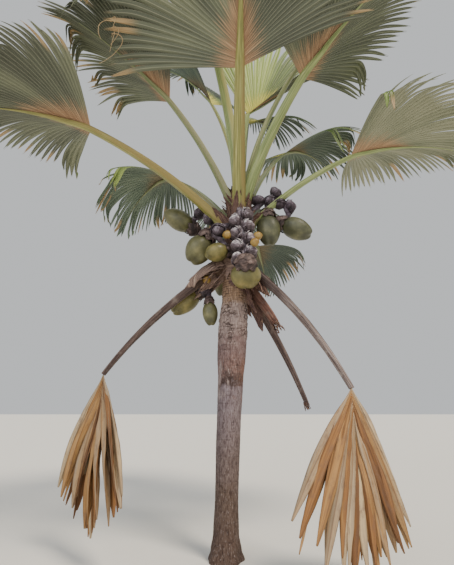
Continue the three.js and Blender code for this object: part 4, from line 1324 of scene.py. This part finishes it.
def add_fruit(bm, middle, tip, length, width):
    """A ripe fruit: an egg, blunt at its cap, with a groove that deepens to its tip."""
    laid_straight = bm.verts.layers.float_vector["laid_straight"]
    turn = Vector((0, 1, 0)).rotation_difference(tip)
    rings = FRUIT_SEGMENTS * 2 // 3
    made = bmesh.ops.create_uvsphere(bm, u_segments=FRUIT_SEGMENTS, v_segments=rings, radius=1)["verts"]
    for point in made:
        place = fruit_skin(point.co.x, point.co.z, -point.co.y, length, width)
        place *= 1 + 0.018 * bumps(*(place * 9 + middle))
        point[laid_straight] = place
        point.co = middle + turn @ place


def add_cap(bm, middle, tip, length, width, covers, seed):
    """The old bracts that still hold a ripe fruit: three rounds of ragged scales in a dome over its end."""
    laid_straight = bm.verts.layers.float_vector["laid_straight"]
    faces_sky = bm.verts.layers.float["faces_sky"]
    turn = Vector((0, 1, 0)).rotation_difference(tip)
    rng = random.Random(seed)
    top = -0.5 * length - CAP_RISE * width
    for layer, (scales, reaches) in enumerate(CAP_LAYERS):
        first = rng.uniform(0, 2 * math.pi)
        for n in range(scales):
            facing = first + 2 * math.pi * n / scales + rng.uniform(-0.2, 0.2)
            end = covers * rng.uniform(0.86, 1.08)
            rim = fruit_skin(math.sin(end), -math.cos(end), 0, length, width)
            marks = rng.uniform(0, 50)
            for i, s, t, point in grid_points(bm, CAP_COLUMNS, CAP_ROWS):
                ragged = bumps(4 * s, 2 * t, marks)
                down = reaches * (0.08 + 0.92 * t) * (1 - 0.3 * s * s * t + 0.1 * ragged * t) * math.pi / 2
                round_to = facing + 0.72 * s * (1 - 0.25 * t * t)
                reach = lerp(0.2 * rim.x, rim.x, math.sin(down))
                reach *= 1.04 + 0.05 * layer + 0.04 * t**3 + 0.06 * ragged * t
                flat = around(round_to, reach)
                y = lerp(top, rim.y, 1 - math.cos(down)) - 0.01 * layer
                place = turn @ Vector((flat.x, y, flat.y * FRUIT_FLATNESS))
                point.co = middle + place
                point[laid_straight] = (reach * round_to, marks, 0.5 * width * down)
                # how far it faces the sky, halved and lowered so that the caps take only the painted shade
                point[faces_sky] = 0.5 * place.normalized().z - 0.5


# Bract wood: dried flower bracts, stiff as bark. Dull purple-brown, grey-white in patches, and lighter where
# it faces the sky and darker where it faces down, which is painted light and shade. Its fibre, drawn 8 mm
# wide so that it shows, runs to the bract's edge. It is darker on the bunches that the leaves shade, and the
# fruit caps are still brown.
def bract_surface(name, stops):
    material, tree = new_material(name)
    laid = add_node(tree, "Attribute", attribute_name="laid_straight")["Vector"]
    threads = drawn_out(tree, laid, (120, 1, 14), detail=5, roughness=0.65)
    place = add_node(tree, "TexCoord")["Object"]
    blotch = add_node(tree, "TexNoise", {"Vector": place, "Scale": 15.0, "Detail": 2})
    mixed = add_node(tree, "Mix", {0: 0.5, 2: threads, 3: blotch[0]})
    # painted light and shade: lighter where the surface faces the sky, darker where it faces down
    sky = add_node(tree, "Attribute", attribute_name="faces_sky")["Fac"]
    painted_sky_light = add_node(tree, "MapRange", {0: sky, 1: -0.7, 2: 0.9, 3: -0.1, 4: 0.12})
    worn = add_node(tree, "Math", {0: mixed[0], 1: painted_sky_light[0]}, operation="ADD")
    brown = add_node(tree, "ValToRGB", {0: worn[0]}, stops)
    finish_material(tree, brown[0], 0.7, mixed[0], strength=0.6, depth=0.003)
    return material


bract_wood = bract_surface(
    "flower bracts with painted sky light",
    [(0.34, 0x2A2024), (0.45, 0x4D4044), (0.53, 0x756870), (0.59, 0xA69EA2), (0.68, 0xD8D4D4)],
)
shaded_bracts = bract_surface(
    "shaded flower bracts",
    [(0.34, 0x221B20), (0.46, 0x3F343B), (0.55, 0x62555F), (0.63, 0x8F868E), (0.74, 0xC0BBBF)],
)
cap_wood = bract_surface(
    "brown fruit cap",
    [(0.34, 0x261C1B), (0.44, 0x463734), (0.53, 0x695651), (0.62, 0x8B7972), (0.74, 0xAFA29B)],
)


# Rind: the smooth living skin of a fruit, like polished leather. Half-glossy olive, greener or yellower
# with age, with soft darker clouds, brown scuffs, and pores that are drawn 6 mm wide so that they show.
def fruit_rind(name, stops, scuff_colour):
    material, tree = new_material(name)
    laid = add_node(tree, "Attribute", attribute_name="laid_straight")["Vector"]
    clouds = add_node(tree, "TexNoise", {"Vector": laid, "Scale": 6.5, "Detail": 5, "Roughness": 0.6})
    skin = add_node(tree, "ValToRGB", {0: clouds[0]}, stops)
    scuffs = drawn_out(tree, laid, (38, 9, 38), detail=7, roughness=0.75)
    scuffed = add_node(tree, "MapRange", {0: scuffs, 1: 0.58, 2: 0.7, 3: 0.0, 4: 0.65})
    skin = add_node(tree, "Mix", {0: scuffed[0], 6: skin[0], 7: scuff_colour}, data_type="RGBA")
    pores = add_node(tree, "TexNoise", {"Vector": laid, "Scale": 170.0, "Detail": 3})
    gloss = add_node(tree, "MapRange", {0: scuffs, 1: 0.35, 2: 0.7, 3: 0.34, 4: 0.58})
    finish_material(tree, skin[2], gloss[0], pores[0], strength=0.18, depth=0.002)
    return material


rinds = {
    "olive": fruit_rind(
        "olive fruit rind", [(0.3, 0x403F29), (0.46, 0x545334), (0.6, 0x676542), (0.75, 0x807A52)], 0x5A4A36
    ),
    "yellow": fruit_rind(
        "yellow-green fruit rind",
        [(0.3, 0x4E4B2A), (0.46, 0x656036), (0.6, 0x7A7241), (0.75, 0x928552)],
        0x6B5238,
    ),
    "dark": fruit_rind(
        "dark olive fruit rind",
        [(0.3, 0x3A3C2B), (0.46, 0x4D4F38), (0.6, 0x616246), (0.75, 0x7A7756)],
        0x4C4232,
    ),
    "golden": fruit_rind(
        "golden ovary rind", [(0.3, 0x6E5224), (0.46, 0x8A6C30), (0.6, 0x9C7F40), (0.75, 0xB09860)], 0x5E4228
    ),
}

for number, bunch in enumerate(BUNCHES):
    name, node = bunch["name"], f"bunch_{bunch['name']}"
    path = smooth_path(bunch["path"])
    bracts = bract_wood if name == "front" else shaded_bracts
    covers = FRONT_CAP_COVERS if name == "front" else CAP_COVERS
    ripe = [
        (Vector(middle), Vector(tip).normalized(), length, width, rinds[rind])
        for middle, tip, length, width, rind in bunch["fruit"]
    ]

    bm = new_bmesh("laid_straight")
    sweep_round(bm, path, uneven=0.22, rings=90)
    for middle, tip, length, width, rind in ripe:
        # an arm runs from the stalk to the back of each ripe fruit
        back = middle - tip * length * 0.42
        apex = middle - tip * (0.5 * length + 0.7 * CAP_RISE * width)
        nearest = nearest_on(path, 5, apex)
        sweep_round(bm, [nearest, nearest.lerp(apex, 0.5), apex, back], uneven=0.2, rings=24)
    make_piece(bm, f"stalk_of_bunch_{name}", node, [bracts], crease=0.9)

    bm = new_bmesh("laid_straight", "faces_sky")
    buds = []
    for i, share in enumerate(bunch["cups"]):
        place, way = along_path(path, share)
        aside = way.cross(Vector((0, -1 if i % 2 else 1, 0))).normalized()
        middle = place + aside * bunch["lean"]
        off_stem = (middle - trunk_axis(middle.z)) * Vector((1, 1, 0))
        facing = (aside + 0.75 * off_stem.normalized()).normalized()
        add_cup(bm, middle, facing, CUP_RADIUS, CUP_SQUASH, opens_at=2.0, seed=60 * number + i)
        buds.append((middle, facing))
    piece = make_piece(bm, f"bracts_of_bunch_{name}", node, [bracts])
    thicken(piece, BRACT_THICKNESS)

    bm = new_bmesh("laid_straight", "faces_sky")
    for i, (middle, tip, length, width, rind) in enumerate(ripe):
        cup = middle - tip * (0.42 * length + 0.12 * width)
        add_cup(bm, cup, tip, width * CAP_CUP, squash=1.0, opens_at=1.9, seed=60 * number + 30 + i)
        add_cap(bm, middle, tip, length, width, covers, seed=60 * number + 40 + i)
    piece = make_piece(bm, f"caps_of_bunch_{name}", node, [cap_wood])
    thicken(piece, BRACT_THICKNESS)

    bm = new_bmesh("laid_straight", "faces_sky")
    for middle, facing in buds:
        # a bud fills its cup and stands a little out of it
        add_ball(bm, middle + facing * 0.008, facing, CUP_RADIUS * 0.88, CUP_SQUASH)
    make_piece(bm, f"buds_of_bunch_{name}", node, [bracts])

    if bunch["young"]:
        bm = new_bmesh("laid_straight", "faces_sky")
        for place in map(Vector, bunch["young"]):
            facing = (place - nearest_on(path, 4, place)).normalized()
            add_ball(bm, place, facing, YOUNG_RADIUS, squash=1.05)
        make_piece(bm, f"young_fruit_{name}", node, [rinds["golden"]])
    for i, (middle, tip, length, width, rind) in enumerate(ripe):
        bm = new_bmesh("laid_straight")
        add_fruit(bm, middle, tip, length, width)
        make_piece(bm, f"fruit_{name}_{i + 1}", node, [rind])


# Floor, light and camera
# A plain pale floor, a soft sky all round, one broad light from high on the front right and a weaker one
# from low in front, and a camera that stands 5 m from the tree at eye height and looks up to the crown.
bm = bmesh.new()
bmesh.ops.create_grid(bm, x_segments=1, y_segments=1, size=60)
mesh = bpy.data.meshes.new("floor")
bm.to_mesh(mesh)
bm.free()
floor = bpy.data.objects.new("floor", mesh)
bpy.context.scene.collection.objects.link(floor)
matt, tree = new_material("pale matt floor")
surface = add_node(tree, "BsdfPrincipled", {"Base Color": 0xDCDAD4, "Roughness": 0.9})
add_node(tree, "OutputMaterial", {"Surface": surface[0]})
mesh.materials.append(matt)

world = bpy.data.worlds.new("soft studio")
bpy.context.scene.world = world
world.use_nodes = True
background = world.node_tree.nodes["Background"]
background.inputs["Color"].default_value = linear_colour(0xE9ECEE)
background.inputs["Strength"].default_value = 0.78


def add_sun(name, turn, rise, softness, power, hex_value):
    """A broad distant light that shines from a compass angle and height."""
    light = bpy.data.lights.new(name, "SUN")
    light.energy = power
    light.angle = math.radians(softness)
    light.color = linear_colour(hex_value)[:3]
    lamp = bpy.data.objects.new(name, light)
    lamp.rotation_euler = outward(turn, rise).to_track_quat("Z", "Y").to_euler()
    bpy.context.scene.collection.objects.link(lamp)


add_sun("key", turn=-48, rise=52, softness=18, power=3.4, hex_value=0xFFF2DE)
add_sun("low fill", turn=-115, rise=14, softness=60, power=1.3, hex_value=0xF4F7FF)

eye = bpy.data.cameras.new("eye")
eye.lens = 26
eye.sensor_width = 36
eye.shift_x = -0.0044
camera = bpy.data.objects.new("eye", eye)
camera.location = (0.04, -5.0, 1.6)
camera.rotation_euler = (math.radians(106.5), 0, 0)
bpy.context.scene.collection.objects.link(camera)
bpy.context.scene.camera = camera
